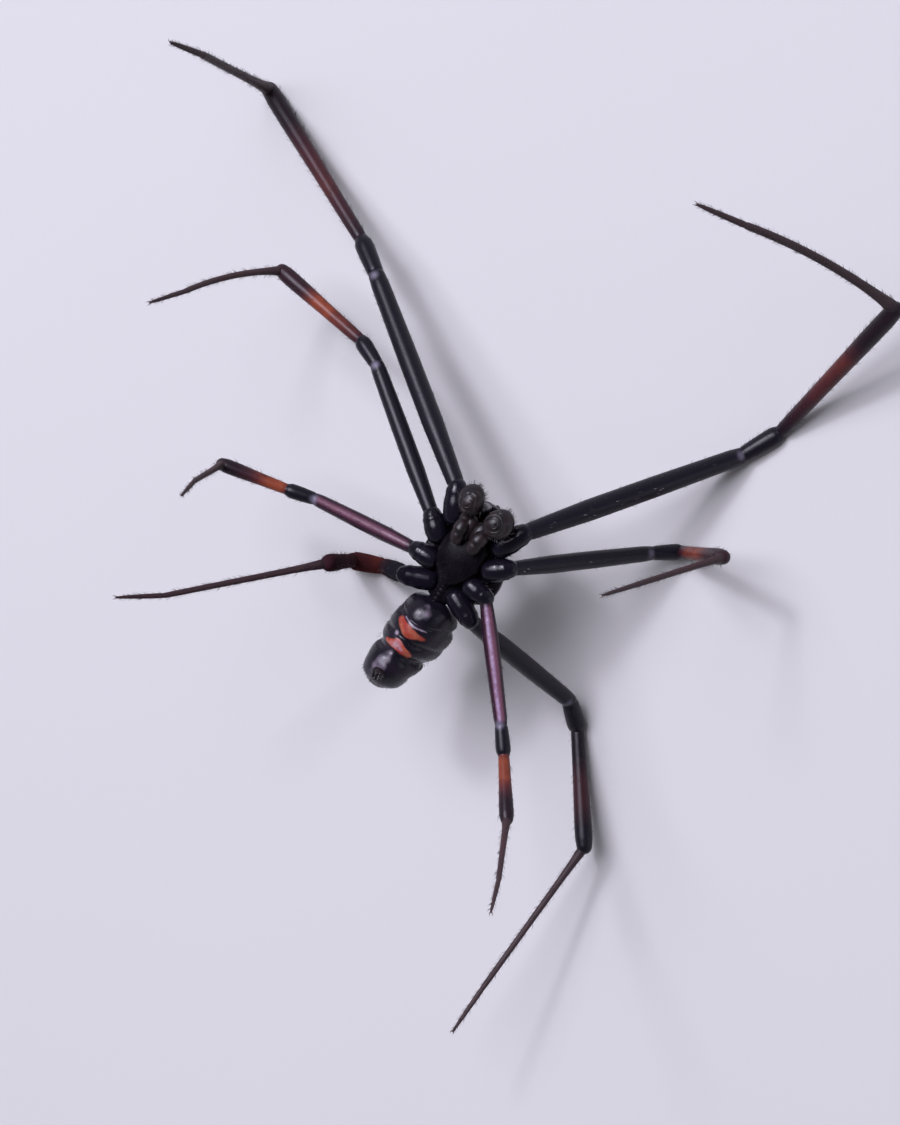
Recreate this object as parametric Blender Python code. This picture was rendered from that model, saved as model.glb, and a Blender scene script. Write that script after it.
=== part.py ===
"""A male black widow spider, life size, belly up, resting on its bent legs.

The scene is in metres. Every size below is in millimetres and is multiplied by MM where
a mesh is made. The spider's own frame has its breastplate's middle at the origin, the
head towards -Y, the spider's right towards +X and the belly towards +Z. At the end the
whole model is stood so that z = 0 is the floor and the origin is the middle of its base.

The real pieces are modelled as they are named on a spider: carapace, breastplate, waist,
abdomen, spinnerets, fangs' bases, palps with their swollen tips, and for each leg the
coxa, femur, patella, tibia, metatarsus and tarsus, each a closed solid of its own.
"""

import math

import bmesh
import bpy
from mathutils import Matrix, Vector

MM = 0.001

# How the spider rests: the height of the breastplate's middle over the floor.
STANCE_HEIGHT = 3.46

# The space left between two pieces that meet. The legs are half a millimetre thick, so
# the space is kept to a tenth of a millimetre.
GAP = 0.10

# Legs, by pair from the front: lengths of femur, patella, tibia, metatarsus and tarsus.
LEG_LENGTHS = {
    1: (5.20, 0.92, 4.30, 4.62, 1.27),
    2: (3.54, 0.68, 2.40, 2.90, 1.07),
    3: (2.65, 0.62, 1.50, 2.00, 0.90),
    4: (3.60, 0.74, 2.57, 3.70, 1.12),
}
# Thickest radius of the same pieces.
LEG_RADII = {
    1: (0.265, 0.260, 0.240, 0.220, 0.190),
    2: (0.250, 0.240, 0.230, 0.215, 0.185),
    3: (0.235, 0.230, 0.220, 0.210, 0.180),
    4: (0.255, 0.245, 0.235, 0.215, 0.185),
}
# How each piece swells along its length: share of the length, share of the radius.
LEG_PROFILES = {
    "femur": ((0.0, 0.78), (0.08, 0.86), (0.30, 1.0), (0.65, 0.97), (0.90, 0.88), (1.0, 0.84)),
    "patella": ((0.0, 0.86), (0.35, 0.97), (0.75, 1.0), (1.0, 0.84)),
    "tibia": ((0.0, 0.84), (0.15, 0.85), (0.50, 0.92), (0.80, 1.0), (0.95, 1.0), (1.0, 0.90)),
    "metatarsus": ((0.0, 0.90), (0.10, 1.0), (0.60, 0.94), (1.0, 0.84)),
    "tarsus": ((0.0, 0.92), (0.50, 0.80), (0.90, 0.52), (1.0, 0.36)),
}
SEGMENTS = ("femur", "patella", "tibia", "metatarsus", "tarsus")

# Where each coxa leaves the breastplate and where it ends, on the spider's right side.
COXA_ROOT = {1: (0.58, -0.64), 2: (0.66, -0.12), 3: (0.50, 0.37), 4: (0.31, 0.78)}
COXA_TIP = {1: (0.86, -1.20), 2: (1.00, -0.40), 3: (0.90, 0.40), 4: (0.85, 1.02)}
COXA_LEVEL = {1: -0.05, 2: -0.05, 3: -0.05, 4: -0.18}
COXA_RADIUS = {1: 0.245, 2: 0.240, 3: 0.225, 4: 0.235}
COXA_PROFILE = ((0.0, 0.86), (0.25, 0.94), (0.52, 1.0), (0.66, 0.86), (0.82, 1.0), (1.0, 0.90))

# The stance, read from the photograph in whole degrees. Each pair is a heading, counted
# from straight ahead towards the spider's right, and a rise above the level.
STANCE = {
    ("right", 1): ((61, -19), (65, -25), (71, -17), (20, 81), (78, 74)),
    ("right", 2): ((59, -15), (73, -19), (85, -7), (139, 64), (149, 64)),
    ("right", 3): ((101, -12), (104, 12), (101, 14), (-118, 83), (-140, 74)),
    ("right", 4): ((128, -65), (110, 28), (-30, 82), (134, 40), (122, 47)),
    ("left", 1): ((-36, -38), (-26, -8), (-14, 23), (84, 52), (94, 44)),
    ("left", 2): ((-53, -49), (-57, -40), (-54, 53), (141, 65), (141, 67)),
    ("left", 3): ((-139, 3), (-139, 9), (-134, 30), (-128, 58), (-142, 51)),
    ("left", 4): ((-112, -49), (-142, -33), (-140, 12), (180, 19), (-179, 18)),
}
SIDES = {"right": 1.0, "left": -1.0}

# Carapace: the shield over the back, which faces the floor. Stations from the head end:
# place along the body, half width, lowest level. Its flat upper side carries the legs.
CARAPACE_TOP = -0.47
CARAPACE_STATIONS = (
    (-1.16, 0.30, -0.66),
    (-1.08, 0.42, -0.92),
    (-0.85, 0.50, -1.05),
    (-0.50, 0.62, -1.08),
    (-0.10, 0.86, -1.04),
    (0.30, 0.93, -0.98),
    (0.65, 0.80, -0.86),
    (0.92, 0.46, -0.66),
    (0.99, 0.26, -0.56),
)
EYE_RADIUS = 0.050
# One side's four eyes: distance from the midline, place along the body, level.
EYES = ((0.09, -1.12, -0.84), (0.25, -1.06, -0.80), (0.11, -0.98, -0.97), (0.30, -0.95, -0.86))

# Breastplate, with the lip in front of it.
STERNUM_TOP = 0.30
STERNUM_BASE = -0.32
STERNUM_STATIONS = (
    (-0.86, 0.09),
    (-0.80, 0.15),
    (-0.70, 0.17),
    (-0.62, 0.34),
    (-0.40, 0.46),
    (-0.10, 0.50),
    (0.25, 0.42),
    (0.52, 0.24),
    (0.66, 0.07),
)

# Waist between the breastplate and the abdomen.
PEDICEL_ENDS = (0.76, 1.04)
PEDICEL_LEVEL = -0.20
PEDICEL_RADIUS = 0.115

# Abdomen. Stations: place along the body, half width, upper level, lower level.
ABDOMEN_STATIONS = (
    (1.13, 0.22, -0.06, -0.40),
    (1.20, 0.40, 0.12, -0.72),
    (1.42, 0.57, 0.24, -1.28),
    (1.80, 0.67, 0.29, -1.62),
    (2.20, 0.67, 0.28, -1.58),
    (2.60, 0.60, 0.24, -1.26),
    (2.92, 0.54, 0.20, -0.98),
    (3.16, 0.45, 0.10, -0.76),
    (3.30, 0.28, -0.06, -0.52),
)
# How far the abdomen's middle stands to the spider's right, at its waist and at its tail.
ABDOMEN_LEAN = (-0.05, 0.13)
# Folds of the shrunken back: place along the body, depth.
ABDOMEN_FOLDS = ((1.62, 0.10), (2.06, 0.035), (2.50, 0.10), (2.86, 0.08))
FOLD_WIDTH = 0.08
BELLY_DEPTH_SHARE = 0.08
# A fold starts this high on the flank and is at its deepest this low, as sines.
FOLD_START = 0.25
FOLD_FULL = -0.65

# Spinnerets: three pairs of short cones in a tight group under the tail's end, leaning
# back from straight up by this angle in degrees.
SPINNERET_ROOT = (ABDOMEN_LEAN[1], 2.97, 0.33)
SPINNERET_LEAN = 40
SPINNERET_LENGTH = 0.16
SPINNERET_RADIUS = 0.070

# Jaws: each swollen base hangs from the front of the carapace towards the belly.
CHELICERA_LINE = (
    (0.150, -1.04, -0.36),
    (0.150, -1.13, -0.18),
    (0.140, -1.14, 0.0),
    (0.115, -1.10, 0.14),
)
CHELICERA_RADII = (0.105, 0.115, 0.110, 0.070)

# Palps: the limb from its broad base over the lip, forward and round to the tip's cup.
PALP_LINE = (
    (0.200, -0.38, 0.42),
    (0.220, -0.58, 0.42),
    (0.250, -0.76, 0.32),
    (0.310, -0.96, 0.08),
    (0.380, -1.18, -0.01),
    (0.390, -1.36, 0.07),
)
PALP_RADII = (0.120, 0.150, 0.120, 0.090, 0.090, 0.105)
# The right palp is held a little nearer the midline than the left one.
BULB_CENTRES = {"right": (0.31, -1.25, 0.52), "left": (-0.39, -1.16, 0.52)}
BULB_HALF_SIZES = (0.28, 0.31, 0.26)
CUP_SHIFT = (0.05, -0.03, -0.07)
CUP_HALF_SIZES = (0.27, 0.33, 0.25)
COIL_TURNS = 1.75
COIL_RADII = (0.20, 0.07)
COIL_STRETCH = 1.1
COIL_WIRE = 0.035
COIL_LIFT = (0.19, 0.285)

BLACK = (0.012, 0.011, 0.014)
BROWN_BLACK = (0.035, 0.022, 0.020)
RED_BROWN = (0.090, 0.022, 0.016)
AMBER = (0.230, 0.055, 0.018)
VIOLET_BROWN = (0.060, 0.020, 0.028)


def new_collection(name):
    """A collection in the scene for the model's pieces."""
    collection = bpy.data.collections.new(name)
    bpy.context.scene.collection.children.link(collection)
    return collection


def clear_scene():
    """Remove whatever the start-up file brings."""
    for thing in list(bpy.data.objects):
        bpy.data.objects.remove(thing, do_unlink=True)


def cuticle(name, colour, roughness):
    """A glossy skin of one colour."""
    material = bpy.data.materials.new(name)
    material.use_nodes = True
    shader = material.node_tree.nodes["Principled BSDF"]
    shader.inputs["Base Color"].default_value = (*colour, 1.0)
    shader.inputs["Roughness"].default_value = roughness
    shader.inputs["Metallic"].default_value = 0.0
    return material


def add_piece(name, mesh, colour, roughness=0.25):
    """Turn a mesh into a named piece of the model with a material of its own."""
    mesh.name = name
    mesh.materials.append(cuticle(name, colour, roughness))
    mesh.shade_smooth()
    piece = bpy.data.objects.new(name, mesh)
    MODEL.objects.link(piece)
    piece.parent = STANDING
    return piece


def mesh_from_bmesh(shape):
    """Close a working bmesh into a mesh whose faces point out."""
    bmesh.ops.recalc_face_normals(shape, faces=shape.faces)
    mesh = bpy.data.meshes.new("shape")
    shape.to_mesh(mesh)
    shape.free()
    return mesh


def rod_mesh(points, radii, sides_step=3):
    """A rod through the points, with its own radius at each, ends closed."""
    curve = bpy.data.curves.new("rod", "CURVE")
    curve.dimensions = "3D"
    curve.bevel_depth = MM
    curve.bevel_resolution = sides_step
    curve.use_fill_caps = True
    spline = curve.splines.new("POLY")
    spline.points.add(len(points) - 1)
    for place, point, radius in zip(spline.points, points, radii):
        place.co = (*(Vector(point) * MM), 1.0)
        place.radius = radius
    rod = bpy.data.objects.new("rod", curve)
    bpy.context.scene.collection.objects.link(rod)
    graph = bpy.context.evaluated_depsgraph_get()
    mesh = bpy.data.meshes.new_from_object(rod.evaluated_get(graph))
    bpy.data.objects.remove(rod, do_unlink=True)
    shape = bmesh.new()
    shape.from_mesh(mesh)
    bmesh.ops.remove_doubles(shape, verts=shape.verts, dist=1e-7)
    return mesh_from_bmesh(shape)


def cut_flat(mesh, point, outward):
    """Cut away what lies beyond a plane and close the cut with a flat face."""
    shape = bmesh.new()
    shape.from_mesh(mesh)
    everything = shape.verts[:] + shape.edges[:] + shape.faces[:]
    bmesh.ops.bisect_plane(
        shape,
        geom=everything,
        dist=1e-8,
        plane_co=Vector(point) * MM,
        plane_no=outward,
        clear_outer=True,
    )
    open_edges = [edge for edge in shape.edges if edge.is_boundary]
    if open_edges:
        bmesh.ops.holes_fill(shape, edges=open_edges, sides=0)
    bmesh.ops.recalc_face_normals(shape, faces=shape.faces)
    shape.to_mesh(mesh)
    shape.free()


def smooth_stations(stations, count):
    """Read evenly spaced stations from a smooth curve through the given ones."""
    last = len(stations) - 1
    result = []
    for step in range(count):
        place = step / (count - 1) * last
        index = min(int(place), last - 1)
        share = place - index
        before = stations[max(index - 1, 0)]
        start = stations[index]
        end = stations[index + 1]
        after = stations[min(index + 2, last)]
        result.append(
            tuple(
                0.5
                * (
                    2 * b
                    + (c - a) * share
                    + (2 * a - 5 * b + 4 * c - d) * share**2
                    + (3 * b - a - 3 * c + d) * share**3
                )
                for a, b, c, d in zip(before, start, end, after)
            )
        )
    return result


def loft_mesh(rings):
    """Join rings of equal count into one closed skin with flat ends."""
    shape = bmesh.new()
    rows = [[shape.verts.new(point * MM) for point in ring] for ring in rings]
    count = len(rings[0])
    for row, following in zip(rows, rows[1:]):
        for index in range(count):
            beside = (index + 1) % count
            shape.faces.new((row[index], row[beside], following[beside], following[index]))
    shape.faces.new(rows[0])
    shape.faces.new(rows[-1])
    return mesh_from_bmesh(shape)


def direction(heading, rise):
    """Unit vector for a heading and a rise in degrees."""
    heading = math.radians(heading)
    rise = math.radians(rise)
    level = math.cos(rise)
    return Vector((level * math.sin(heading), -level * math.cos(heading), math.sin(rise)))


def union(name, meshes):
    """Fuse closed meshes into one closed skin."""
    members = []
    for mesh in meshes:
        member = bpy.data.objects.new(name, mesh)
        bpy.context.scene.collection.objects.link(member)
        members.append(member)
    first = members[0]
    others = bpy.data.collections.new("others")
    bpy.context.scene.collection.children.link(others)
    for member in members[1:]:
        others.objects.link(member)
    modifier = first.modifiers.new("union", "BOOLEAN")
    modifier.operation = "UNION"
    modifier.operand_type = "COLLECTION"
    modifier.solver = "EXACT"
    modifier.collection = others
    graph = bpy.context.evaluated_depsgraph_get()
    fused = bpy.data.meshes.new_from_object(first.evaluated_get(graph))
    for member in members:
        bpy.data.objects.remove(member, do_unlink=True)
    bpy.data.collections.remove(others)
    fused.materials.clear()
    return fused


def ball_mesh(centre, half_sizes, around=10, along=6):
    """A ball stretched to three half sizes."""
    shape = bmesh.new()
    bmesh.ops.create_uvsphere(shape, u_segments=around, v_segments=along, radius=MM)
    bmesh.ops.scale(shape, verts=shape.verts, vec=half_sizes)
    bmesh.ops.translate(shape, verts=shape.verts, vec=Vector(centre) * MM)
    return mesh_from_bmesh(shape)


def oval_ring(place, half_width, top, bottom, count, middle=None):
    """A ring across the body: one half oval above its widest level and one below."""
    middle = (top + bottom) / 2 if middle is None else middle
    ring = []
    for index in range(count):
        angle = 2 * math.pi * index / count
        reach = top - middle if math.sin(angle) > 0 else middle - bottom
        ring.append(Vector((half_width * math.cos(angle), place, middle + reach * math.sin(angle))))
    return ring


def build_carapace():
    """The back shield: pear shaped, flat on the side that carries the legs."""
    rings = []
    for place, half_width, bottom in smooth_stations(CARAPACE_STATIONS, 17):
        ring = oval_ring(place, half_width, CARAPACE_TOP, bottom, 20, CARAPACE_TOP - 0.10)
        rings.append(ring)
    shield = loft_mesh(rings)
    eyes = []
    for side in SIDES.values():
        for across, along, level in EYES:
            eyes.append(ball_mesh((side * across, along, level), (EYE_RADIUS,) * 3, 8, 6))
    add_piece("carapace", union("carapace", [shield] + eyes), BLACK, 0.22)


def build_sternum():
    """The breastplate: a shallow dome in the shape of a heart, with straight flanks."""
    rings = []
    for place, half_width in smooth_stations(STERNUM_STATIONS, 15):
        crown = STERNUM_TOP - 0.30 * (abs(place) / 0.9) ** 2
        edge = crown - 0.07
        ring = []
        for across, level in (
            (1.0, STERNUM_BASE),
            (1.0, edge),
            (0.82, crown - 0.03),
            (0.45, crown),
            (-0.45, crown),
            (-0.82, crown - 0.03),
            (-1.0, edge),
            (-1.0, STERNUM_BASE),
        ):
            ring.append(Vector((across * half_width, place, level)))
        rings.append(ring)
    add_piece("sternum", loft_mesh(rings), BLACK, 0.22)


def build_pedicel():
    """The narrow waist."""
    front, back = PEDICEL_ENDS
    points = [(0.0, front + (back - front) * share, PEDICEL_LEVEL) for share in (0, 0.5, 1)]
    radii = (PEDICEL_RADIUS, PEDICEL_RADIUS * 0.85, PEDICEL_RADIUS)
    add_piece("pedicel", rod_mesh(points, radii), BROWN_BLACK, 0.35)


def fold_depth(place, angle):
    """How far the skin sinks at a fold: deep over the back, shallow on the belly."""
    share = min(max((FOLD_START - math.sin(angle)) / (FOLD_START - FOLD_FULL), 0.0), 1.0)
    back = BELLY_DEPTH_SHARE + (1 - BELLY_DEPTH_SHARE) * share
    depth = sum(sunk * math.exp(-(((place - fold) / FOLD_WIDTH) ** 2)) for fold, sunk in ABDOMEN_FOLDS)
    return depth * back


def abdomen_lean(place):
    """How far the abdomen's middle stands to the spider's right at a place along it."""
    front, back = ABDOMEN_STATIONS[0][0], ABDOMEN_STATIONS[-1][0]
    at_waist, at_tail = ABDOMEN_LEAN
    return at_waist + (at_tail - at_waist) * (place - front) / (back - front)


def build_abdomen():
    """The slim abdomen of a male, with the folds of its shrunken back."""
    count = 22
    rings = []
    for place, half_width, top, bottom in smooth_stations(ABDOMEN_STATIONS, 33):
        ring = oval_ring(place, half_width, top, bottom, count)
        centre = Vector((0.0, place, (top + bottom) / 2))
        lean = Vector((abdomen_lean(place), 0.0, 0.0))
        for index, point in enumerate(ring):
            inward = (centre - point).normalized()
            ring[index] = point + lean + inward * fold_depth(place, 2 * math.pi * index / count)
        rings.append(ring)
    add_piece("abdomen", loft_mesh(rings), BLACK, 0.22)


def build_spinnerets():
    """Six short cones in a rosette on a low mound."""
    root = Vector(SPINNERET_ROOT)
    out = direction(180, 90 - SPINNERET_LEAN)
    right = Vector((1.0, 0.0, 0.0))
    across = out.cross(right)
    pieces = [ball_mesh(root + out * 0.02, (0.15, 0.12, 0.10), 12, 8)]
    for index in range(6):
        angle = math.pi / 6 + index * math.pi / 3
        spread = right * math.cos(angle) + across * math.sin(angle)
        base = root + spread * 0.07
        tip = base + out * SPINNERET_LENGTH + spread * 0.03
        radii = [SPINNERET_RADIUS * share for share in (0.9, 1.0, 0.45)]
        pieces.append(rod_mesh((base, (base + tip) / 2, tip), radii, 1))
    add_piece("spinnerets", union("spinnerets", pieces), BROWN_BLACK, 0.4)


def mirrored(point, side):
    """A point given for the right side, moved to the asked side."""
    return Vector((point[0] * side, point[1], point[2]))


def build_head_limbs(name, side):
    """The jaw, the palp and its swollen tip on one side."""
    jaw = [mirrored(point, side) for point in CHELICERA_LINE]
    add_piece(f"chelicera_{name}", rod_mesh(jaw, CHELICERA_RADII), BLACK, 0.25)
    limb = [mirrored(point, side) for point in PALP_LINE]
    add_piece(f"palp_{name}", rod_mesh(limb, PALP_RADII), BROWN_BLACK, 0.3)
    centre = Vector(BULB_CENTRES[name])
    bulb = ball_mesh(centre, BULB_HALF_SIZES, 14, 9)
    cup = ball_mesh(centre + mirrored(CUP_SHIFT, side), CUP_HALF_SIZES, 14, 9)
    coil = []
    steps = 22
    for step in range(steps):
        share = step / (steps - 1)
        turn = 2 * math.pi * COIL_TURNS * share * side
        reach = COIL_RADII[0] + (COIL_RADII[1] - COIL_RADII[0]) * share
        lift = COIL_LIFT[0] + (COIL_LIFT[1] - COIL_LIFT[0]) * share
        offset = Vector((reach * math.cos(turn), reach * COIL_STRETCH * math.sin(turn), lift))
        coil.append(centre + offset)
    wire = rod_mesh(coil, [COIL_WIRE] * steps, 1)
    tip = union(f"palp_bulb_{name}", [bulb, cup, wire])
    add_piece(f"palp_bulb_{name}", tip, BROWN_BLACK, 0.25)


def segment_mesh(start, end, radius, profile, before, after):
    """A leg piece from joint to joint, its ends mitred against its neighbours.

    before and after are the neighbours' directions, or None at a free end.
    """
    along = (end - start).normalized()
    length = (end - start).length
    points = []
    radii = []
    for share, swell in profile:
        points.append(start + along * length * share)
        radii.append(radius * swell)
    cuts = []
    for neighbour, joint, sign, index in ((before, start, -1, 0), (after, end, 1, -1)):
        if neighbour is None:
            continue
        bend = along.angle(neighbour)
        overshoot = radii[index] * math.tan(bend / 2) + GAP
        points[index] = joint + along * overshoot * sign
        normal = (along + neighbour).normalized() * sign
        cuts.append((joint - normal * GAP / 2, normal))
    mesh = rod_mesh(points, radii)
    for point, normal in cuts:
        cut_flat(mesh, point, normal)
    return mesh


def segment_colour(pair, segment):
    """The leg's own colour: black joints, redder shafts on some of the pairs."""
    if segment in ("metatarsus", "tarsus"):
        return BROWN_BLACK
    if segment == "tibia":
        return {1: RED_BROWN, 2: AMBER, 3: AMBER, 4: RED_BROWN}[pair]
    if segment == "femur" and pair == 3:
        return VIOLET_BROWN
    return BLACK


def build_leg(name, side, pair):
    """One leg: the coxa from the breastplate, then the five long pieces."""
    level = COXA_LEVEL[pair]
    root = mirrored((*COXA_ROOT[pair], level), side)
    joint = mirrored((*COXA_TIP[pair], level), side)
    ways = [direction(*angles) for angles in STANCE[(name, pair)]]
    label = f"leg_{name}_{pair}"
    coxa = segment_mesh(root, joint, COXA_RADIUS[pair], COXA_PROFILE, None, ways[0])
    add_piece(f"{label}_coxa", coxa, BLACK)
    before = (joint - root).normalized()
    for index, segment in enumerate(SEGMENTS):
        end = joint + ways[index] * LEG_LENGTHS[pair][index]
        after = ways[index + 1] if index + 1 < len(ways) else None
        radius = LEG_RADII[pair][index]
        mesh = segment_mesh(joint, end, radius, LEG_PROFILES[segment], before, after)
        if end.z - radius < -STANCE_HEIGHT or joint.z - radius < -STANCE_HEIGHT:
            cut_flat(mesh, (0.0, 0.0, -STANCE_HEIGHT), (0.0, 0.0, -1.0))
        add_piece(f"{label}_{segment}", mesh, segment_colour(pair, segment))
        before = ways[index]
        joint = end


def stand_on_floor():
    """Raise the model onto the floor and centre its base on the origin."""
    bpy.context.view_layer.update()
    corners = []
    for piece in MODEL.objects:
        corners.extend(piece.matrix_world @ vertex.co for vertex in piece.data.vertices)
    lows = [min(corner[axis] for corner in corners) for axis in range(2)]
    highs = [max(corner[axis] for corner in corners) for axis in range(2)]
    middle = [(low + high) / 2 for low, high in zip(lows, highs)]
    STANDING.location = (-middle[0], -middle[1], STANCE_HEIGHT * MM)
    bpy.context.view_layer.update()


clear_scene()
MODEL = new_collection("male_black_widow_spider")
STANDING = bpy.data.objects.new("standing", None)
bpy.context.scene.collection.objects.link(STANDING)
build_carapace()
build_sternum()
build_pedicel()
build_abdomen()
build_spinnerets()
for side_name, side_sign in SIDES.items():
    build_head_limbs(side_name, side_sign)
    for leg_pair in LEG_LENGTHS:
        build_leg(side_name, side_sign, leg_pair)
stand_on_floor()
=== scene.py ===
"""Looks of a male black widow spider, life size, belly up on its bent legs.

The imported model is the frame. Each sub-assembly below is a class that holds its sizes in
millimetres, in the spider's own frame: the breastplate's middle at the origin, the head
towards -Y, the spider's right towards +X and the belly towards +Z. Bench turns a finished
form into a piece in metres at its place in the frame.
"""

import logging
import math
from dataclasses import dataclass, field
from enum import Enum
from typing import Any, Iterable, Sequence

import bpy
import numpy as np
from mathutils import Matrix, Vector, noise


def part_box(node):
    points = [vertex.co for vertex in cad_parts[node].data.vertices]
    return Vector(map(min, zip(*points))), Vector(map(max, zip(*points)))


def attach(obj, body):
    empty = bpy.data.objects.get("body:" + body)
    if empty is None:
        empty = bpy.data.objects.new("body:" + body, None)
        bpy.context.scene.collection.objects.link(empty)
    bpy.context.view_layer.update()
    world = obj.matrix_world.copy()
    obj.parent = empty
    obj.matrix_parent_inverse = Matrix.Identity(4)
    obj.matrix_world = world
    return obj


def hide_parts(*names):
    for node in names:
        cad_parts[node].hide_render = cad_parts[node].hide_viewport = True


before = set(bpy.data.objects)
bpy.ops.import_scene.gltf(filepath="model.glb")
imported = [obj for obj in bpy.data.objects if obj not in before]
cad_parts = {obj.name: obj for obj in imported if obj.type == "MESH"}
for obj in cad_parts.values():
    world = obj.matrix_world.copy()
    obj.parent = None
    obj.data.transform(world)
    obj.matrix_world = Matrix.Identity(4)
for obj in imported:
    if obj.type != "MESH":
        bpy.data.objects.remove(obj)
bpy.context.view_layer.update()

MM = 0.001
# How high the breastplate's middle stands over the floor, and how far the lip reaches
# forward of it, in millimetres.
STANCE_HEIGHT = 3.46
LIP_REACH = 0.86
LOG = logging.getLogger("spider")
WHOLE_TURN = 2 * math.pi
LEVEL_RIGHT = np.array((1.0, 0.0, 0.0))
BELLY_WARD = np.array((0.0, 0.0, 1.0))

Triple = tuple[float, float, float]
Pair = tuple[float, float]


class Side(Enum):
    """The spider's own sides, with the sign of their X."""

    RIGHT = 1.0
    LEFT = -1.0

    @property
    def label(self) -> str:
        """The side's name in lower case."""
        return self.name.lower()

    @property
    def mirror(self) -> np.ndarray:
        """Factors that bring a place of the right side to this side."""
        return np.array((self.value, 1.0, 1.0))


class Segment(Enum):
    """The pieces of a leg from the body out."""

    COXA = 0
    FEMUR = 1
    PATELLA = 2
    TIBIA = 3
    METATARSUS = 4
    TARSUS = 5


# Forms


@dataclass
class Form:
    """A closed surface in millimetres.

    points is an array of corners, faces a list of corner numbers.
    """

    points: np.ndarray
    faces: list[tuple[int, ...]]

    def mesh(self) -> bpy.types.Mesh:
        """The form as a mesh.

        Returns:
            The mesh, still in millimetres.
        """
        mesh = bpy.data.meshes.new("form")
        mesh.from_pydata(self.points.tolist(), [], self.faces)
        mesh.validate()
        return mesh


def unit(vector: np.ndarray) -> np.ndarray:
    """Vectors of length one.

    Args:
        vector: one vector, or one a row.

    Returns:
        The same directions.
    """
    length = np.linalg.norm(vector, axis=-1, keepdims=True)
    return vector / np.maximum(length, 1e-12)


def direction(heading: float, rise: float) -> np.ndarray:
    """Unit vector for a heading from straight ahead and a rise.

    Args:
        heading: degrees towards the spider's right.
        rise: degrees above the level.

    Returns:
        The vector.
    """
    turn, lift = math.radians(heading), math.radians(rise)
    level = math.cos(lift)
    return np.array((level * math.sin(turn), -level * math.cos(turn), math.sin(lift)))


def side_frame(along: np.ndarray) -> tuple[np.ndarray, np.ndarray]:
    """Two directions square to a third one.

    Args:
        along: unit vector.

    Returns:
        A level one, and one that points to the belly side.
    """
    steep = 0.95
    up = BELLY_WARD if abs(along[2]) < steep else np.array((0.0, 1.0, 0.0))
    across = unit(np.cross(along, up))
    return across, unit(np.cross(across, along))


def turns(count: int) -> np.ndarray:
    """Angles of evenly spaced corners round a ring."""
    return np.linspace(0, WHOLE_TURN, count, endpoint=False)


def read(table: Sequence[Pair], at: Any) -> Any:
    """Values of a table of place and value, with straight lines between its rows."""
    places, values = zip(*table)
    return np.interp(at, places, values)


def lofted(rings: np.ndarray) -> Form:
    """A closed form over rings of equal count, with a pole at each end.

    Args:
        rings: array of ring, corner, axis.

    Returns:
        The form.
    """
    rows, count = rings.shape[:2]
    poles = (rings[0].mean(axis=0), rings[-1].mean(axis=0))
    points = np.vstack((rings.reshape(-1, 3), *poles))
    faces: list[tuple[int, ...]] = []
    for row in range(rows - 1):
        low, high = row * count, (row + 1) * count
        for index in range(count):
            beside = (index + 1) % count
            faces.append((low + index, low + beside, high + beside, high + index))
    first, last = rows * count, rows * count + 1
    top = (rows - 1) * count
    for index in range(count):
        beside = (index + 1) % count
        faces.append((first, beside, index))
        faces.append((last, top + index, top + beside))
    return Form(points, faces)


def oval(angles: np.ndarray, middle: Triple, half: float, reach: Any) -> np.ndarray:
    """One ring across the body.

    Args:
        angles: angle of each corner.
        middle: the ring's middle.
        half: half width.
        reach: half height, one number or one a corner.

    Returns:
        Rows of points.
    """
    across = middle[0] + half * np.cos(angles)
    level = middle[2] + reach * np.sin(angles)
    return np.stack((across, np.full(len(angles), middle[1]), level), axis=1)


def smooth_line(points: Sequence[Sequence[float]], count: int) -> np.ndarray:
    """Evenly spaced places on a smooth curve through the given ones.

    Args:
        points: rows of any length.
        count: how many to read.

    Returns:
        Array of rows.
    """
    given = np.array(points, dtype=float)
    last = len(given) - 1
    place = np.linspace(0, last, count)
    index = np.minimum(place.astype(int), last - 1)
    share = (place - index)[:, None]
    a, b = given[np.maximum(index - 1, 0)], given[index]
    c, d = given[index + 1], given[np.minimum(index + 2, last)]
    bend = (2 * a - 5 * b + 4 * c - d) * share**2 + (3 * b - a - 3 * c + d) * share**3
    return 0.5 * (2 * b + (c - a) * share + bend)


def smooth_radii(radii: Sequence[float], count: int) -> np.ndarray:
    """Evenly spaced radii that run smoothly through the given ones."""
    return smooth_line([(radius,) for radius in radii], count)[:, 0]


def tube(line: np.ndarray, radii: np.ndarray, sides: int = 24, dome: float = 0.7) -> Form:
    """A round bar along a line, with domed ends.

    Args:
        line: places along the middle.
        radii: radius at each place.
        sides: corners round it.
        dome: how far the ends swell, as a share of the end's radius.

    Returns:
        The form.
    """
    ways = unit(np.gradient(line, axis=0))
    across, _ = side_frame(ways[0])
    angles = turns(sides)
    steps = np.linspace(0.12, 1.0, 5)[:-1] * math.pi / 2
    frames = []
    for way in ways:
        across = unit(across - way * np.dot(across, way))
        frames.append((across, np.cross(across, way)))
    rings = []
    for step in steps:
        middle = line[0] - ways[0] * radii[0] * dome * math.cos(step)
        rings.append((middle, radii[0] * math.sin(step), frames[0]))
    rings.extend(zip(line, radii, frames))
    for step in steps[::-1]:
        middle = line[-1] + ways[-1] * radii[-1] * dome * math.cos(step)
        rings.append((middle, radii[-1] * math.sin(step), frames[-1]))
    rows = []
    for middle, radius, (side, lift) in rings:
        turn = np.outer(np.cos(angles), side) + np.outer(np.sin(angles), lift)
        rows.append(middle + radius * turn)
    return lofted(np.array(rows))


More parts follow.
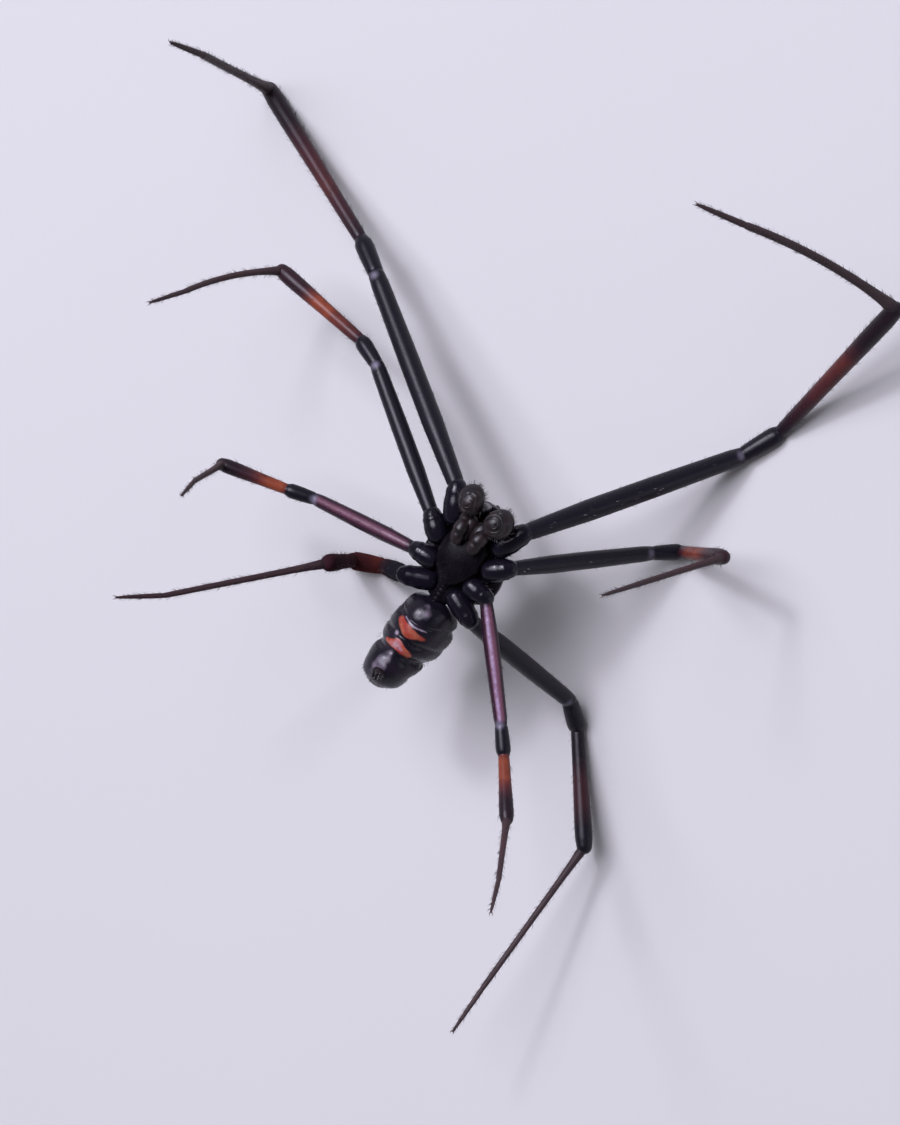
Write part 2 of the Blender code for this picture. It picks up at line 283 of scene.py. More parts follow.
def ball(centre: Sequence[float], halves: Sequence[float], around: int = 32) -> Form:
    """A ball stretched to three half sizes.

    Args:
        centre: its middle.
        halves: half size along each axis.
        around: corners round it.

    Returns:
        The form.
    """
    angles = turns(around)
    rows = []
    for rise in np.linspace(-math.pi / 2, math.pi / 2, around // 2 + 1)[1:-1]:
        level = np.full(around, math.sin(rise))
        wide = math.cos(rise)
        rows.append(np.stack((np.cos(angles) * wide, np.sin(angles) * wide, level), 1))
    form = lofted(np.array(rows))
    form.points[-2] = (0.0, 0.0, -1.0)
    form.points[-1] = (0.0, 0.0, 1.0)
    form.points = form.points * np.array(halves) + np.array(centre)
    return form


def put(name: str, data: Any) -> bpy.types.Object:
    """A new object in the scene.

    Args:
        name: its name.
        data: its mesh, light or camera.

    Returns:
        The object.
    """
    thing = bpy.data.objects.new(name, data)
    bpy.context.scene.collection.objects.link(thing)
    return thing


def fused(forms: Iterable[Form]) -> bpy.types.Mesh:
    """One closed skin over several closed forms.

    Args:
        forms: the forms, in millimetres.

    Returns:
        The mesh, in millimetres.
    """
    members = [put("member", form.mesh()) for form in forms]
    others = bpy.data.collections.new("others")
    bpy.context.scene.collection.children.link(others)
    for member in members[1:]:
        others.objects.link(member)
    join = members[0].modifiers.new("join", "BOOLEAN")
    join.operation = "UNION"
    join.operand_type = "COLLECTION"
    join.solver = "EXACT"
    join.collection = others
    graph = bpy.context.evaluated_depsgraph_get()
    mesh = bpy.data.meshes.new_from_object(members[0].evaluated_get(graph))
    for member in members:
        bpy.data.objects.remove(member, do_unlink=True)
    bpy.data.collections.remove(others)
    mesh.materials.clear()
    return mesh


def corners_of(mesh: bpy.types.Mesh) -> np.ndarray:
    """Every corner of a mesh.

    Args:
        mesh: the mesh.

    Returns:
        An array with a row for each corner.
    """
    flat = np.empty(len(mesh.vertices) * 3)
    mesh.vertices.foreach_get("co", flat)
    return flat.reshape(-1, 3)


def paint(mesh: bpy.types.Mesh, name: str, values: np.ndarray) -> None:
    """Keep one number a corner on the mesh, under the name that its finish reads."""
    layer = mesh.attributes.new(name, "FLOAT", "POINT")
    layer.data.foreach_set("value", np.ascontiguousarray(values, dtype=np.float32))


def bell(distance: np.ndarray, width: float) -> np.ndarray:
    """A smooth hump of height one, this wide on each side."""
    return np.exp(-((distance / width) ** 2))


def ripple(points: np.ndarray, scale: float, seed: float) -> np.ndarray:
    """Smooth uneven numbers from -1 to 1 over space.

    Args:
        points: rows of places.
        scale: swells in a millimetre.
        seed: shifts the pattern.

    Returns:
        One number a row.
    """
    shift = Vector((seed, seed * 1.7, seed * 0.3))
    return np.array([noise.noise(Vector(point) * scale + shift) for point in points])


# Bristles


@dataclass
class Coat:
    """Fine bristles, gathered for one mesh.

    Each bristle is a three-sided spike, closed at its root, and its patch of the bake map
    sits at its root's place on an unwrap of the skin.
    """

    sunk: float = 0.012
    patch: float = 0.00099
    # Share of the length and share of the width of each ring of corners.
    rings: tuple[Pair, ...] = ((0.0, 1.0), (0.4, 0.8), (0.75, 0.45))
    # Keeps the cross product clear of nought where a bristle lies as it starts.
    askew: Triple = (0.013, 0.017, 0.011)
    planted: list[tuple[Any, ...]] = field(default_factory=list)

    def add(
        self,
        root: np.ndarray,
        out: np.ndarray,
        lie: Sequence[float],
        length: float,
        width: float,
        place: Pair,
    ) -> None:
        """Plant one bristle.

        Args:
            root: where it leaves the skin.
            out: the way it starts.
            lie: the way its tip bends, not of length one where it bends less.
            length: its length.
            width: its radius at the root.
            place: its root on the unwrap, each from 0 to 1.
        """
        self.planted.append((root, out, lie, length, width, place))

    def mesh(self) -> bpy.types.Mesh:
        """All bristles as one mesh in millimetres, with the bake map and tip shares.

        Returns:
            The mesh.
        """
        roots, outs, lies, lengths, widths, places = map(np.array, zip(*self.planted))
        outs, lengths, widths = unit(outs), lengths[:, None], widths[:, None]
        across = unit(np.cross(outs, lies + np.array(self.askew)))
        beside = np.cross(outs, across)
        rows = []
        for share, swell in self.rings:
            middle = roots - outs * self.sunk * (share == 0.0)
            middle = middle + lengths * (outs * share + lies * share**2)
            for corner in range(3):
                turn = WHOLE_TURN * corner / 3
                ring = across * math.cos(turn) + beside * math.sin(turn)
                rows.append(middle + ring * widths * swell)
        rows.append(roots + lengths * (outs + lies))
        spike = [(0, 2, 1)]
        for low in (0, 3):
            for corner in range(3):
                beyond = (corner + 1) % 3
                spike.append((low + corner, low + beyond, low + 3 + beyond, low + 3 + corner))
        spike.extend((6 + corner, 6 + (corner + 1) % 3, 9) for corner in range(3))
        each = len(rows)
        starts = range(0, len(roots) * each, each)
        faces = [tuple(start + index for index in face) for start in starts for face in spike]
        mesh = bpy.data.meshes.new("coat")
        mesh.from_pydata(np.stack(rows, axis=1).reshape(-1, 3).tolist(), [], faces)
        shares = [share for share, _ in self.rings for _ in range(3)] + [1.0]
        paint(mesh, "tip", np.tile(np.array(shares), len(roots)))
        self.unwrap(mesh, places, each)
        return mesh

    def unwrap(self, mesh: bpy.types.Mesh, places: np.ndarray, each: int) -> None:
        """Lay each bristle's small patch at its root's place on the bake map.

        Args:
            mesh: the bristles' mesh.
            places: each root on the unwrap.
            each: corners of one bristle.
        """
        layer = mesh.uv_layers.new(name="OFBake")
        corner = np.empty(len(mesh.loops), dtype=np.int32)
        mesh.loops.foreach_get("vertex_index", corner)
        part = corner % each
        offset = np.stack((part % 3 - 1, part // 3 - 1.5), axis=1) * self.patch
        spots = np.clip(places[corner // each] + offset, 0.0, 1.0)
        layer.data.foreach_set("uv", spots.ravel())


# Finishes


class Tone:
    """A value in a finish, with the usual arithmetic as Math nodes."""

    def __init__(self, nodes: "Nodes", socket: bpy.types.NodeSocket) -> None:
        """Wrap an output socket of a tree."""
        self.nodes = nodes
        self.socket = socket

    def maths(self, operation: str, first: Any, second: Any, clamp: bool = False) -> "Tone":
        """A Math node on two values.

        Args:
            operation: the Math node's operation.
            first: a number or a tone.
            second: a number or a tone.
            clamp: keep the result from 0 to 1.

        Returns:
            The result.
        """
        settings = {"operation": operation, "use_clamp": clamp}
        return self.nodes.node("ShaderNodeMath", settings, {0: first, 1: second})

    def __add__(self, other: Any) -> "Tone":
        """This plus the other."""
        return self.maths("ADD", self, other)

    def __radd__(self, other: Any) -> "Tone":
        """The other plus this."""
        return self.maths("ADD", other, self)

    def __mul__(self, other: Any) -> "Tone":
        """This times the other."""
        return self.maths("MULTIPLY", self, other)

    def __rmul__(self, other: Any) -> "Tone":
        """The other times this."""
        return self.maths("MULTIPLY", other, self)

    def __sub__(self, other: Any) -> "Tone":
        """This less the other."""
        return self.maths("SUBTRACT", self, other)

    def __rsub__(self, other: Any) -> "Tone":
        """The other less this."""
        return self.maths("SUBTRACT", other, self)

    def held(self) -> "Tone":
        """This kept from 0 to 1."""
        return self.maths("ADD", self, 0.0, clamp=True)


class Nodes:
    """A node tree, built by expressions."""

    def __init__(self, tree: bpy.types.NodeTree) -> None:
        """Work on a tree that is there already."""
        self.tree = tree

    def node(
        self, kind: str, settings: dict[str, Any], sockets: dict[Any, Any], out: int = 0
    ) -> Tone:
        """Add one node.

        Args:
            kind: the node's type.
            settings: its settings, with a ramp's stops as (place, colour) pairs.
            sockets: values or tones by socket name or number.
            out: which output to give back.

        Returns:
            The output as a tone.
        """
        node = self.tree.nodes.new(kind)
        for name, value in settings.items():
            if name == "stops":
                elements = node.color_ramp.elements
                while len(elements) < len(value):
                    elements.new(0.5)
                for element, (place, colour) in zip(elements, value):
                    element.position = place
                    element.color = (*colour, 1.0)
            else:
                setattr(node, name, value)
        for key, value in sockets.items():
            self.feed(node.inputs[key], value)
        return Tone(self, node.outputs[out])

    def feed(self, socket: bpy.types.NodeSocket, value: Any) -> None:
        """Link a tone to a socket, or set a plain value on it.

        Args:
            socket: the input socket.
            value: a tone, a colour or a number.
        """
        if isinstance(value, Tone):
            self.tree.links.new(value.socket, socket)
        elif isinstance(value, tuple) and len(value) == 3 and len(socket.default_value) == 4:
            socket.default_value = (*value, 1.0)
        else:
            socket.default_value = value

    def ramp(self, value: Any, *stops: tuple[float, Triple]) -> Tone:
        """A colour read from stops."""
        return self.node("ShaderNodeValToRGB", {"stops": stops}, {0: value})


class Recipe(Nodes):
    """The node tree of one finish."""

    def __init__(self, name: str) -> None:
        """Start a material with a Principled shader.

        Args:
            name: the material's name.
        """
        self.material = bpy.data.materials.new(name)
        self.material.use_nodes = True
        super().__init__(self.material.node_tree)
        self.shader = self.tree.nodes["Principled BSDF"]

    def place(self) -> Tone:
        """The point of the surface in millimetres."""
        raw = self.node("ShaderNodeTexCoord", {}, {}, out=3)
        return self.node("ShaderNodeVectorMath", {"operation": "SCALE"}, {0: raw, "Scale": 1 / MM})

    def stretched(self, vector: Tone, factors: Triple) -> Tone:
        """A place multiplied axis by axis."""
        settings = {"operation": "MULTIPLY"}
        return self.node("ShaderNodeVectorMath", settings, {0: vector, 1: factors})

    def grain(self, vector: Tone, scale: float, detail: float = 3.0, rough: float = 0.5) -> Tone:
        """Uneven values from 0 to 1.

        Args:
            vector: where.
            scale: swells in a millimetre.
            detail: how many finer layers.
            rough: how strong the finer layers are.

        Returns:
            The value.
        """
        sockets = {"Vector": vector, "Scale": scale, "Detail": detail, "Roughness": rough}
        return self.node("ShaderNodeTexNoise", {}, sockets)

    def cells(self, vector: Tone, scale: float) -> Tone:
        """Distance to the middle of small cells."""
        return self.node("ShaderNodeTexVoronoi", {}, {"Vector": vector, "Scale": scale})

    def blend(self, share: Any, first: Any, second: Any) -> Tone:
        """From the first colour to the second by a share."""
        settings = {"data_type": "RGBA"}
        return self.node("ShaderNodeMix", settings, {0: share, 6: first, 7: second}, out=2)

    def mark(self, name: str) -> Tone:
        """A number kept on the mesh."""
        return self.node("ShaderNodeAttribute", {"attribute_name": name}, {}, out=2)

    def surface(
        self, colour: Any, roughness: Any, height: Tone | None = None, depth: float = 0.0
    ) -> None:
        """Feed the shader.

        Args:
            colour: base colour.
            roughness: value or tone.
            height: relief from 0 to 1, if any.
            depth: the relief's depth in millimetres.
        """
        self.feed(self.shader.inputs["Base Color"], colour)
        self.feed(self.shader.inputs["Roughness"], roughness)
        if height is not None:
            sockets = {"Height": height, "Distance": depth * MM, "Strength": 1.0}
            normal = self.node("ShaderNodeBump", {}, sockets)
            self.feed(self.shader.inputs["Normal"], normal)

    def fixed(self, **values: float) -> None:
        """Set uniform values on the shader's own sockets, by name with underscores."""
        for name, value in values.items():
            self.shader.inputs[name.replace("_", " ")].default_value = value


@dataclass(frozen=True)
class Finish:
    """A material that each kind of finish mixes in its own way."""

    name: str

    def make(self) -> bpy.types.Material:
        """Mix the finish.

        Returns:
            The material.
        """
        recipe = Recipe(self.name)
        self.mix(recipe, recipe.place())
        return recipe.material

    def mix(self, recipe: Recipe, place: Tone) -> None:
        """Feed the shader of a recipe, whose surface points place gives in millimetres."""
        raise NotImplementedError(self.name)


@dataclass(frozen=True)
class Shell(Finish):
    """Hard glossy cuticle, nearly black with a violet cast."""

    name: str = "black_cuticle"
    deep: Triple = (0.004, 0.0035, 0.006)
    worn: Triple = (0.010, 0.007, 0.012)
    gloss: float = 0.20
    pitting: float = 0.0022
    index: float = 1.5

    def mix(self, recipe: Recipe, place: Tone) -> None:
        """Cloudy colour, small pits and a fine grain.

        Args:
            recipe: the tree.
            place: the surface's points.
        """
        cloud = recipe.grain(place, 2.2, 4.0)
        pits = recipe.cells(place, 26.0)
        fine = recipe.grain(place, 48.0)
        colour = recipe.ramp(cloud, (0.38, self.deep), (0.66, self.worn))
        rough = self.gloss + cloud * 0.10 + fine * 0.06
        recipe.surface(colour, rough, pits * 0.5 + fine * 0.6, self.pitting)
        recipe.fixed(IOR=self.index)


@dataclass(frozen=True)
class LegShell(Finish):
    """Leg cuticle: black, with warm shafts, violet thighs, brown ends and pale soft skin. On the
    third thighs the lighter band towards the lamps, with dark flanks, is painted shade and the
    pale stripe a painted highlight; the pale knee patch is partly a painted highlight.
    """

    name: str = "leg_cuticle"
    index: float = 1.31
    black: Triple = (0.005, 0.004, 0.008)
    # Stops from cold to the warmest shaft.
    warmths: tuple[tuple[float, Triple], ...] = (
        (0.25, (0.038, 0.011, 0.015)),
        (0.50, (0.115, 0.024, 0.016)),
        (0.75, (0.260, 0.056, 0.020)),
        (1.0, (0.380, 0.110, 0.035)),
    )
    violet: Triple = (0.020, 0.006, 0.014)
    # Lighter lilac on the third thigh's side that faces the lamps, over dark violet flanks:
    # painted shade.
    lit_lilac: Triple = (0.145, 0.058, 0.088)
    # Pale lavender stripe on the third thigh: a painted highlight.
    bloom: Triple = (0.360, 0.270, 0.410)
    brown: Triple = (0.044, 0.026, 0.028)
    # Pale knee patch: soft skin, painted lavender-pale as the knee's glint (partly a painted
    # highlight).
    soft: Triple = (0.17, 0.155, 0.21)
    relief: float = 0.0024

    def mix(self, recipe: Recipe, place: Tone) -> None:
        """Lay each marking of the skin over the one before, painted light among them: the third
        thighs' lit band and pale stripe, and the glint in the knee patch.

        Args:
            recipe: the tree.
            place: the surface's points.
        """
        cloud = recipe.grain(place, 3.0, 4.0)
        fine = recipe.grain(place, 55.0)
        scales = recipe.cells(place, 20.0)
        patchy = recipe.grain(place, 7.0, 4.0, 0.7)
        warm = (recipe.mark("warm") * (0.72 + cloud * 0.56)).held()
        colour = recipe.ramp(warm, (0.0, self.black), *self.warmths)
        # Lighter band facing the lamps on the third thigh, dark at its flanks: painted shade.
        stripe = (recipe.mark("stripe") * (0.7 + fine * 0.5)).held()
        # Narrow pale stripe on the third thigh: a painted highlight.
        bloom = (recipe.mark("bloom") * (patchy * 2.4 - 0.5)).held()
        thigh = recipe.blend(bloom, recipe.blend(stripe, self.violet, self.lit_lilac), self.bloom)
        for name, unevenness, over in (
            ("violet", 0.55 + cloud * 0.8, thigh),
            ("brown", 0.6 + cloud * 0.5, self.brown),
            # Knee patch: pale soft skin with a painted highlight in it.
            ("soft", 0.75 + fine * 0.4, self.soft),
        ):
            colour = recipe.blend((recipe.mark(name) * unevenness).held(), colour, over)
        rough = 0.16 + cloud * 0.08 + recipe.mark("matt") * 0.30
        recipe.surface(colour, rough, scales * 0.4 + fine * 0.7, self.relief)
        recipe.fixed(IOR=self.index)


@dataclass(frozen=True)
class BellyShell(Finish):
    """Abdomen skin: tight glossy black with broken red bars, pale rings round the back's spots,
    and pale painted highlights on the belly.
    """

    name: str = "abdomen_cuticle"
    black: Triple = (0.004, 0.0035, 0.007)
    worn: Triple = (0.011, 0.007, 0.014)
    red: Triple = (0.27, 0.020, 0.014)
    orange: Triple = (0.33, 0.092, 0.050)
    # Pale lavender of the back's spot rings and of the painted highlights on the belly.
    pale: Triple = (0.34, 0.28, 0.35)
    # Creases run along the body, so their pattern is squeezed across it.
    squeeze: Triple = (5.0, 14.0, 6.0)
    relief: float = 0.0020
    index: float = 1.32

    def mix(self, recipe: Recipe, place: Tone) -> None:
        """Lay the bars and the pale marks over the black. The pale marks on the belly are painted
        highlights; the rings on the back are the spider's own.

        Args:
            recipe: the tree.
            place: the surface's points.
        """
        cloud = recipe.grain(place, 2.6, 4.0)
        fine = recipe.grain(place, 40.0)
        creases = recipe.grain(recipe.stretched(place, self.squeeze), 1.0, 2.0)
        colour = recipe.ramp(cloud, (0.38, self.black), (0.68, self.worn))
        hue = recipe.ramp(recipe.grain(place, 6.0), (0.36, self.red), (0.64, self.orange))
        red = (recipe.mark("red") * (0.85 + fine * 0.5)).held()
        # Pale marks: the back's spot rings, and painted highlights on the belly.
        pale = (recipe.mark("pale") * (0.5 + fine * 0.7)).held()
        colour = recipe.blend(pale, recipe.blend(red, colour, hue), self.pale)
        rough = 0.19 + cloud * 0.12 + fine * 0.06 + red * 0.04
        recipe.surface(colour, rough, creases * 0.4 + fine * 0.3, self.relief)
        recipe.fixed(IOR=self.index)


@dataclass(frozen=True)
class Mottled(Finish):
    """Brown cuticle with blotches: palps and spinnerets."""

    dark: Triple = (0.006, 0.004, 0.005)
    light: Triple = (0.019, 0.010, 0.012)
    gloss: float = 0.30
    blotch: float = 5.0
    relief: float = 0.006
    index: float = 1.38

    def mix(self, recipe: Recipe, place: Tone) -> None:
        """Blotches in colour and relief alike.

        Args:
            recipe: the tree.
            place: the surface's points.
        """
        cloud = recipe.grain(place, self.blotch, 4.0, 0.6)
        fine = recipe.grain(place, 50.0)
        colour = recipe.ramp(cloud, (0.44, self.dark), (0.70, self.light))
        height = cloud * 0.5 + fine * 0.5
        recipe.surface(colour, self.gloss + fine * 0.16, height, self.relief)
        recipe.fixed(IOR=self.index)


@dataclass(frozen=True)
class Fibre(Finish):
    """Bristles: black at the root, browner and a little clearer at the tip."""

    name: str = "bristle"
    root: Triple = (0.006, 0.005, 0.006)
    tip: Triple = (0.030, 0.020, 0.024)

    def mix(self, recipe: Recipe, place: Tone) -> None:
        """Shade from the root to the tip.

        Args:
            recipe: the tree.
            place: the surface's points.
        """
        cloud = recipe.grain(place, 9.0, 2.0)
        share = (recipe.mark("tip") * (0.4 + cloud)).held()
        recipe.surface(recipe.blend(share, self.root, self.tip), 0.30 + cloud * 0.15)


@dataclass(frozen=True)
class Cloudy(Finish):
    """A smooth dark finish with soft clouds of a second colour under a clear coat."""

    dark: Triple
    light: Triple
    scale: float
    detail: float
    stops: Pair
    gloss: Pair
    coat: float
    coat_gloss: float = 0.03

    def mix(self, recipe: Recipe, place: Tone) -> None:
        """Clouds in colour and gloss.

        Args:
            recipe: the tree.
            place: the surface's points.
        """
        cloud = recipe.grain(place, self.scale, self.detail)
        low, high = self.stops
        colour = recipe.ramp(cloud, (low, self.dark), (high, self.light))
        recipe.surface(colour, self.gloss[0] + cloud * self.gloss[1])
        recipe.fixed(Coat_Weight=self.coat, Coat_Roughness=self.coat_gloss)


@dataclass(frozen=True)
class Ground(Finish):
    """The studio's pale matt floor."""

    name: str = "studio_floor"
    light: Triple = (0.515, 0.51, 0.505)
    shade: Triple = (0.495, 0.49, 0.485)

    def mix(self, recipe: Recipe, place: Tone) -> None:
        """Faint wide clouds.

        Args:
            recipe: the tree.
            place: the surface's points.
        """
        cloud = recipe.grain(place, 0.05, 2.0)
        recipe.surface(recipe.blend(cloud, self.light, self.shade), 0.85)


# The bench


class Bench:
    """Turns forms into pieces at their place in the frame."""

    def __init__(self) -> None:
        """Find the spider's own frame from the breastplate, and make the finishes."""
        low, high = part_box("sternum")
        middle = (low.x + high.x) / 2
        self.origin = Vector((middle, low.y + LIP_REACH * MM, STANCE_HEIGHT * MM))
        self.shell = Shell().make()
        self.leg = LegShell().make()
        self.dull_leg = LegShell("dull_leg_cuticle", index=1.13).make()
        self.belly = BellyShell().make()
        self.palp = Mottled("palp_cuticle").make()
        self.tail = Mottled(
            "tail_cuticle", (0.005, 0.004, 0.005), (0.022, 0.013, 0.015), 0.20, 9.0
        ).make()
        self.breast = Shell(
            "breast_cuticle", (0.003, 0.0025, 0.004), (0.006, 0.005, 0.007), 0.24, 0.003, 1.13
        ).make()
        self.fibre = Fibre().make()
        self.horn = Cloudy(
            "horn", (0.010, 0.006, 0.006), (0.120, 0.030, 0.016), 14.0, 3.0, (0.42, 0.70),
            (0.16, 0.1), 0.4,
        ).make()
        self.lens = Cloudy(
            "eye", (0.004, 0.003, 0.004), (0.050, 0.020, 0.010), 18.0, 2.0, (0.45, 0.75),
            (0.05, 0.04), 1.0,
        ).make()

    def seat(
        self,
        name: str,
        mesh: bpy.types.Mesh,
        material: bpy.types.Material,
        nodes: Sequence[str] = (),
        crease: float = 40.0,
    ) -> None:
        """Put one finished mesh in the frame.

        Args:
            name: the piece's name.
            mesh: its mesh in millimetres.
            material: its finish.
            nodes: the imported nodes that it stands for.
            crease: degrees over which an edge stays sharp.
        """
        mesh.name = name
        mesh.transform(Matrix.Translation(self.origin) @ Matrix.Scale(MM, 4))
        corners = corners_of(mesh)
        corners[:, 2] = np.maximum(corners[:, 2], 0.0)
        mesh.vertices.foreach_set("co", corners.ravel())
        mesh.shade_smooth()
        mesh.set_sharp_from_angle(angle=math.radians(crease))
        mesh.materials.append(material)
        mesh.update()
        piece = put(name, mesh)
        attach(piece, "root")
        if nodes:
            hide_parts(*nodes)
        LOG.info("%s: %d faces", name, len(mesh.polygons))


# The body


@dataclass
class CarapaceShield:
    """The back shield, which faces the floor, with the eight eyes."""

    top: float = -0.47
    shoulder: float = 0.10
    # Place along the body, half width, lowest level.
    stations: tuple[Triple, ...] = (
        (-1.205, 0.13, -0.61),
        (-1.17, 0.27, -0.72),
        (-1.08, 0.42, -0.92),
        (-0.85, 0.50, -1.05),
        (-0.50, 0.62, -1.08),
        (-0.10, 0.86, -1.04),
        (0.30, 0.93, -0.98),
        (0.65, 0.80, -0.86),
        (0.92, 0.46, -0.66),
        (0.99, 0.26, -0.56),
    )
    pole_shifts: Pair = (-0.012, 0.04)
    # How far across and along each eye of a side stands, and its radius.
    eyes: tuple[Triple, ...] = (
        (0.085, -1.125, 0.055),
        (0.250, -1.080, 0.050),
        (0.105, -1.000, 0.060),
        (0.300, -0.970, 0.052),
    )
    eye_rise: float = 0.25
    pit: float = 0.30
    pit_size: Pair = (0.05, 0.16)
    pit_depth: float = 0.07
    # Degrees from straight ahead, width in degrees and depth of each groove.
    grooves: tuple[Triple, ...] = (
        (38.0, 9.6, 0.030), (68.0, 4.8, 0.018), (98.0, 4.8, 0.018), (130.0, 4.8, 0.018)
    )
    groove_span: Pair = (0.25, 0.75)
    rim: Triple = (0.12, 0.08, 0.018)
    around: int = 112
    along: int = 96

    def build(self, bench: Bench) -> None:
        """Make the shield and the eyes.

        Args:
            bench: seats the pieces.
        """
        angles = turns(self.around)
        middle = self.top - self.shoulder
        rows = []
        for place, half, bottom in smooth_line(self.stations, self.along):
            reach = np.where(np.sin(angles) > 0, self.shoulder, middle - bottom)
            rows.append(oval(angles, (0.0, place, middle), half, reach))
        rings = np.array(rows)
        self.carve(rings, angles)
        form = lofted(rings)
        form.points[-2:, 1] += self.pole_shifts
        nodes = ("carapace",)
        bench.seat("carapace_shield", form.mesh(), bench.shell, nodes, 60.0)
        domes = [
            ball(self.eye_place(side.value * across, along, radius), (radius,) * 3, 24)
            for side in Side
            for across, along, radius in self.eyes
        ]
        bench.seat("eyes", fused(domes), bench.lens)

    def eye_place(self, across: float, along: float, radius: float) -> Triple:
        """The middle of an eye that stands out of the shield's front.

        Args:
            across: how far it stands to the spider's right.
            along: its place along the body.
            radius: its radius.

        Returns:
            The middle.
        """
        rows = smooth_line(self.stations, self.along)
        half = np.interp(along, rows[:, 0], rows[:, 1])
        bottom = np.interp(along, rows[:, 0], rows[:, 2])
        middle = self.top - self.shoulder
        level = middle - (middle - bottom) * math.sqrt(1 - (across / half) ** 2)
        rise = self.eye_rise * radius
        return across, along - rise, level - rise

    def carve(self, rings: np.ndarray, angles: np.ndarray) -> None:
        """Sink the middle pit, the grooves that spread from it and the head's furrow.

        Args:
            rings: the shield's rings, changed in place.
            angles: the angle of each corner of a ring.
        """
        points = rings.reshape(-1, 3)
        back = np.clip(-np.sin(np.tile(angles, len(rings))), 0, 1)
        across, along = points[:, 0], points[:, 1] - self.pit
        depth = self.pit_depth * bell(across, self.pit_size[0]) * bell(along, self.pit_size[1])
        turn = np.degrees(np.arctan2(np.abs(across), -along))
        reach = np.hypot(across, along)
        near, far = self.groove_span
        span = np.clip(reach / near, 0, 1) * (reach < far)
        for heading, width, sunk in self.grooves:
            depth += sunk * bell(turn - heading, width) * span
        level, width, swell = self.rim
        points[:, 2] += depth * back
        points[:, :2] *= (1 + swell * bell(back - level, width))[:, None]


@dataclass
class Breastplate:
    """The breastplate with the lip in front of it, and the soft core under both."""

    top: float = 0.30
    base: float = -0.32
    # Place along the body and half width, of the plate and of the core.
    stations: tuple[Pair, ...] = (
        (-0.86, 0.09),
        (-0.80, 0.15),
        (-0.70, 0.17),
        (-0.62, 0.34),
        (-0.40, 0.46),
        (-0.10, 0.50),
        (0.25, 0.42),
        (0.52, 0.24),
        (0.66, 0.07),
    )
    core: tuple[Pair, ...] = (
        (-1.00, 0.24),
        (-0.75, 0.50),
        (-0.40, 0.68),
        (0.00, 0.74),
        (0.40, 0.66),
        (0.75, 0.50),
        (0.98, 0.36),
        (1.08, 0.20),
    )
    core_levels: Pair = (-0.10, -0.56)
    # How far the plate falls towards its ends, and over what length.
    fall: Pair = (0.30, 0.9)
    edge_fall: float = 0.075
    squareness: Pair = (0.55, 0.45)
    # Place, width and depth of the groove behind the lip.
    lip_groove: Triple = (-0.665, 0.022, 0.045)
    around: int = 96
    along: int = 90
    core_along: int = 40
    bristle_count: int = 80
    bristle_width: float = 0.0045

    def crown(self, place: float) -> float:
        """Level of the plate's middle line at a place along it."""
        return self.top - self.fall[0] * (abs(place) / self.fall[1]) ** 2

    def build(self, bench: Bench) -> None:
        """Make the plate and the core.

        Args:
            bench: seats the pieces.
        """
        angles = turns(self.around)
        cosine, sine = np.cos(angles), np.sin(angles)
        wide, tall = self.squareness
        sweep = np.sign(cosine) * np.abs(cosine) ** wide
        lift = np.sign(sine) * np.abs(sine) ** tall
        upper = np.clip(sine, 0, 1)
        groove, width, sunk = self.lip_groove
        rows = []
        for place, half in smooth_line(self.stations, self.along):
            crown = self.crown(place)
            middle, reach = (crown + self.base) / 2, (crown - self.base) / 2
            level = middle + reach * lift - self.edge_fall * sweep**2 * upper
            level = level - sunk * bell(np.array(place - groove), width) * upper
            rows.append(np.stack((half * sweep, np.full(self.around, place), level), axis=1))
        form = lofted(np.array(rows))
        form.points[:, 2] += 0.006 * ripple(form.points, 5.0, 3.0)
        bench.seat("breastplate", form.mesh(), bench.breast, ("sternum",), 60.0)
        high, low = self.core_levels
        middle, reach = (high + low) / 2, (high - low) / 2
        stations = smooth_line(self.core, self.core_along)
        rows = [oval(angles, (0.0, place, middle), half, reach) for place, half in stations]
        core = lofted(np.array(rows))
        core.points += 0.02 * ripple(core.points, 6.0, 5.0)[:, None] * unit(core.points)
        bench.seat("body_core", core.mesh(), bench.breast)

    def bristles(self, coat: Coat, chance: np.random.Generator) -> None:
        """Plant short bristles over the plate.

        Args:
            coat: takes the bristles.
            chance: the seeded dice.
        """
        for _ in range(self.bristle_count):
            along = chance.uniform(-0.6, 0.6)
            share = chance.uniform(-0.85, 0.85)
            level = self.crown(along) - self.edge_fall * share**2 - 0.004
            root = np.array((share * read(self.stations, along), along, level))
            out = np.array((share * 0.4, 0.5, 0.8)) + chance.normal(0, 0.12, 3)
            place = (0.05 + 0.1 * (along + 0.6) / 1.2, 0.05 + 0.1 * (share + 1) / 2)
            length = chance.uniform(0.05, 0.09)
            coat.add(root, out, (0.0, 0.25, 0.0), length, self.bristle_width, place)


@dataclass
class Waist:
    """The narrow waist, ringed, between the breastplate and the abdomen."""

    ends: Pair = (0.60, 1.22)
    level: float = -0.20
    radius: float = 0.135
    folds: int = 6
    fold_depth: float = 0.07
    flare: float = 0.5
    count: int = 60

    def build(self, bench: Bench) -> None:
        """Make the waist.

        Args:
            bench: seats the pieces.
        """
        share = np.linspace(0, 1, self.count)
        along = self.ends[0] + (self.ends[1] - self.ends[0]) * share
        line = np.stack((np.zeros(self.count), along, np.full(self.count, self.level)), axis=1)
        wave = self.fold_depth * np.sin(share * WHOLE_TURN * self.folds)
        radii = self.radius * (1 + wave + self.flare * (2 * share - 1) ** 4)
        form = tube(line, radii, 40)
        bench.seat("waist_skin", form.mesh(), bench.breast, ("pedicel",))


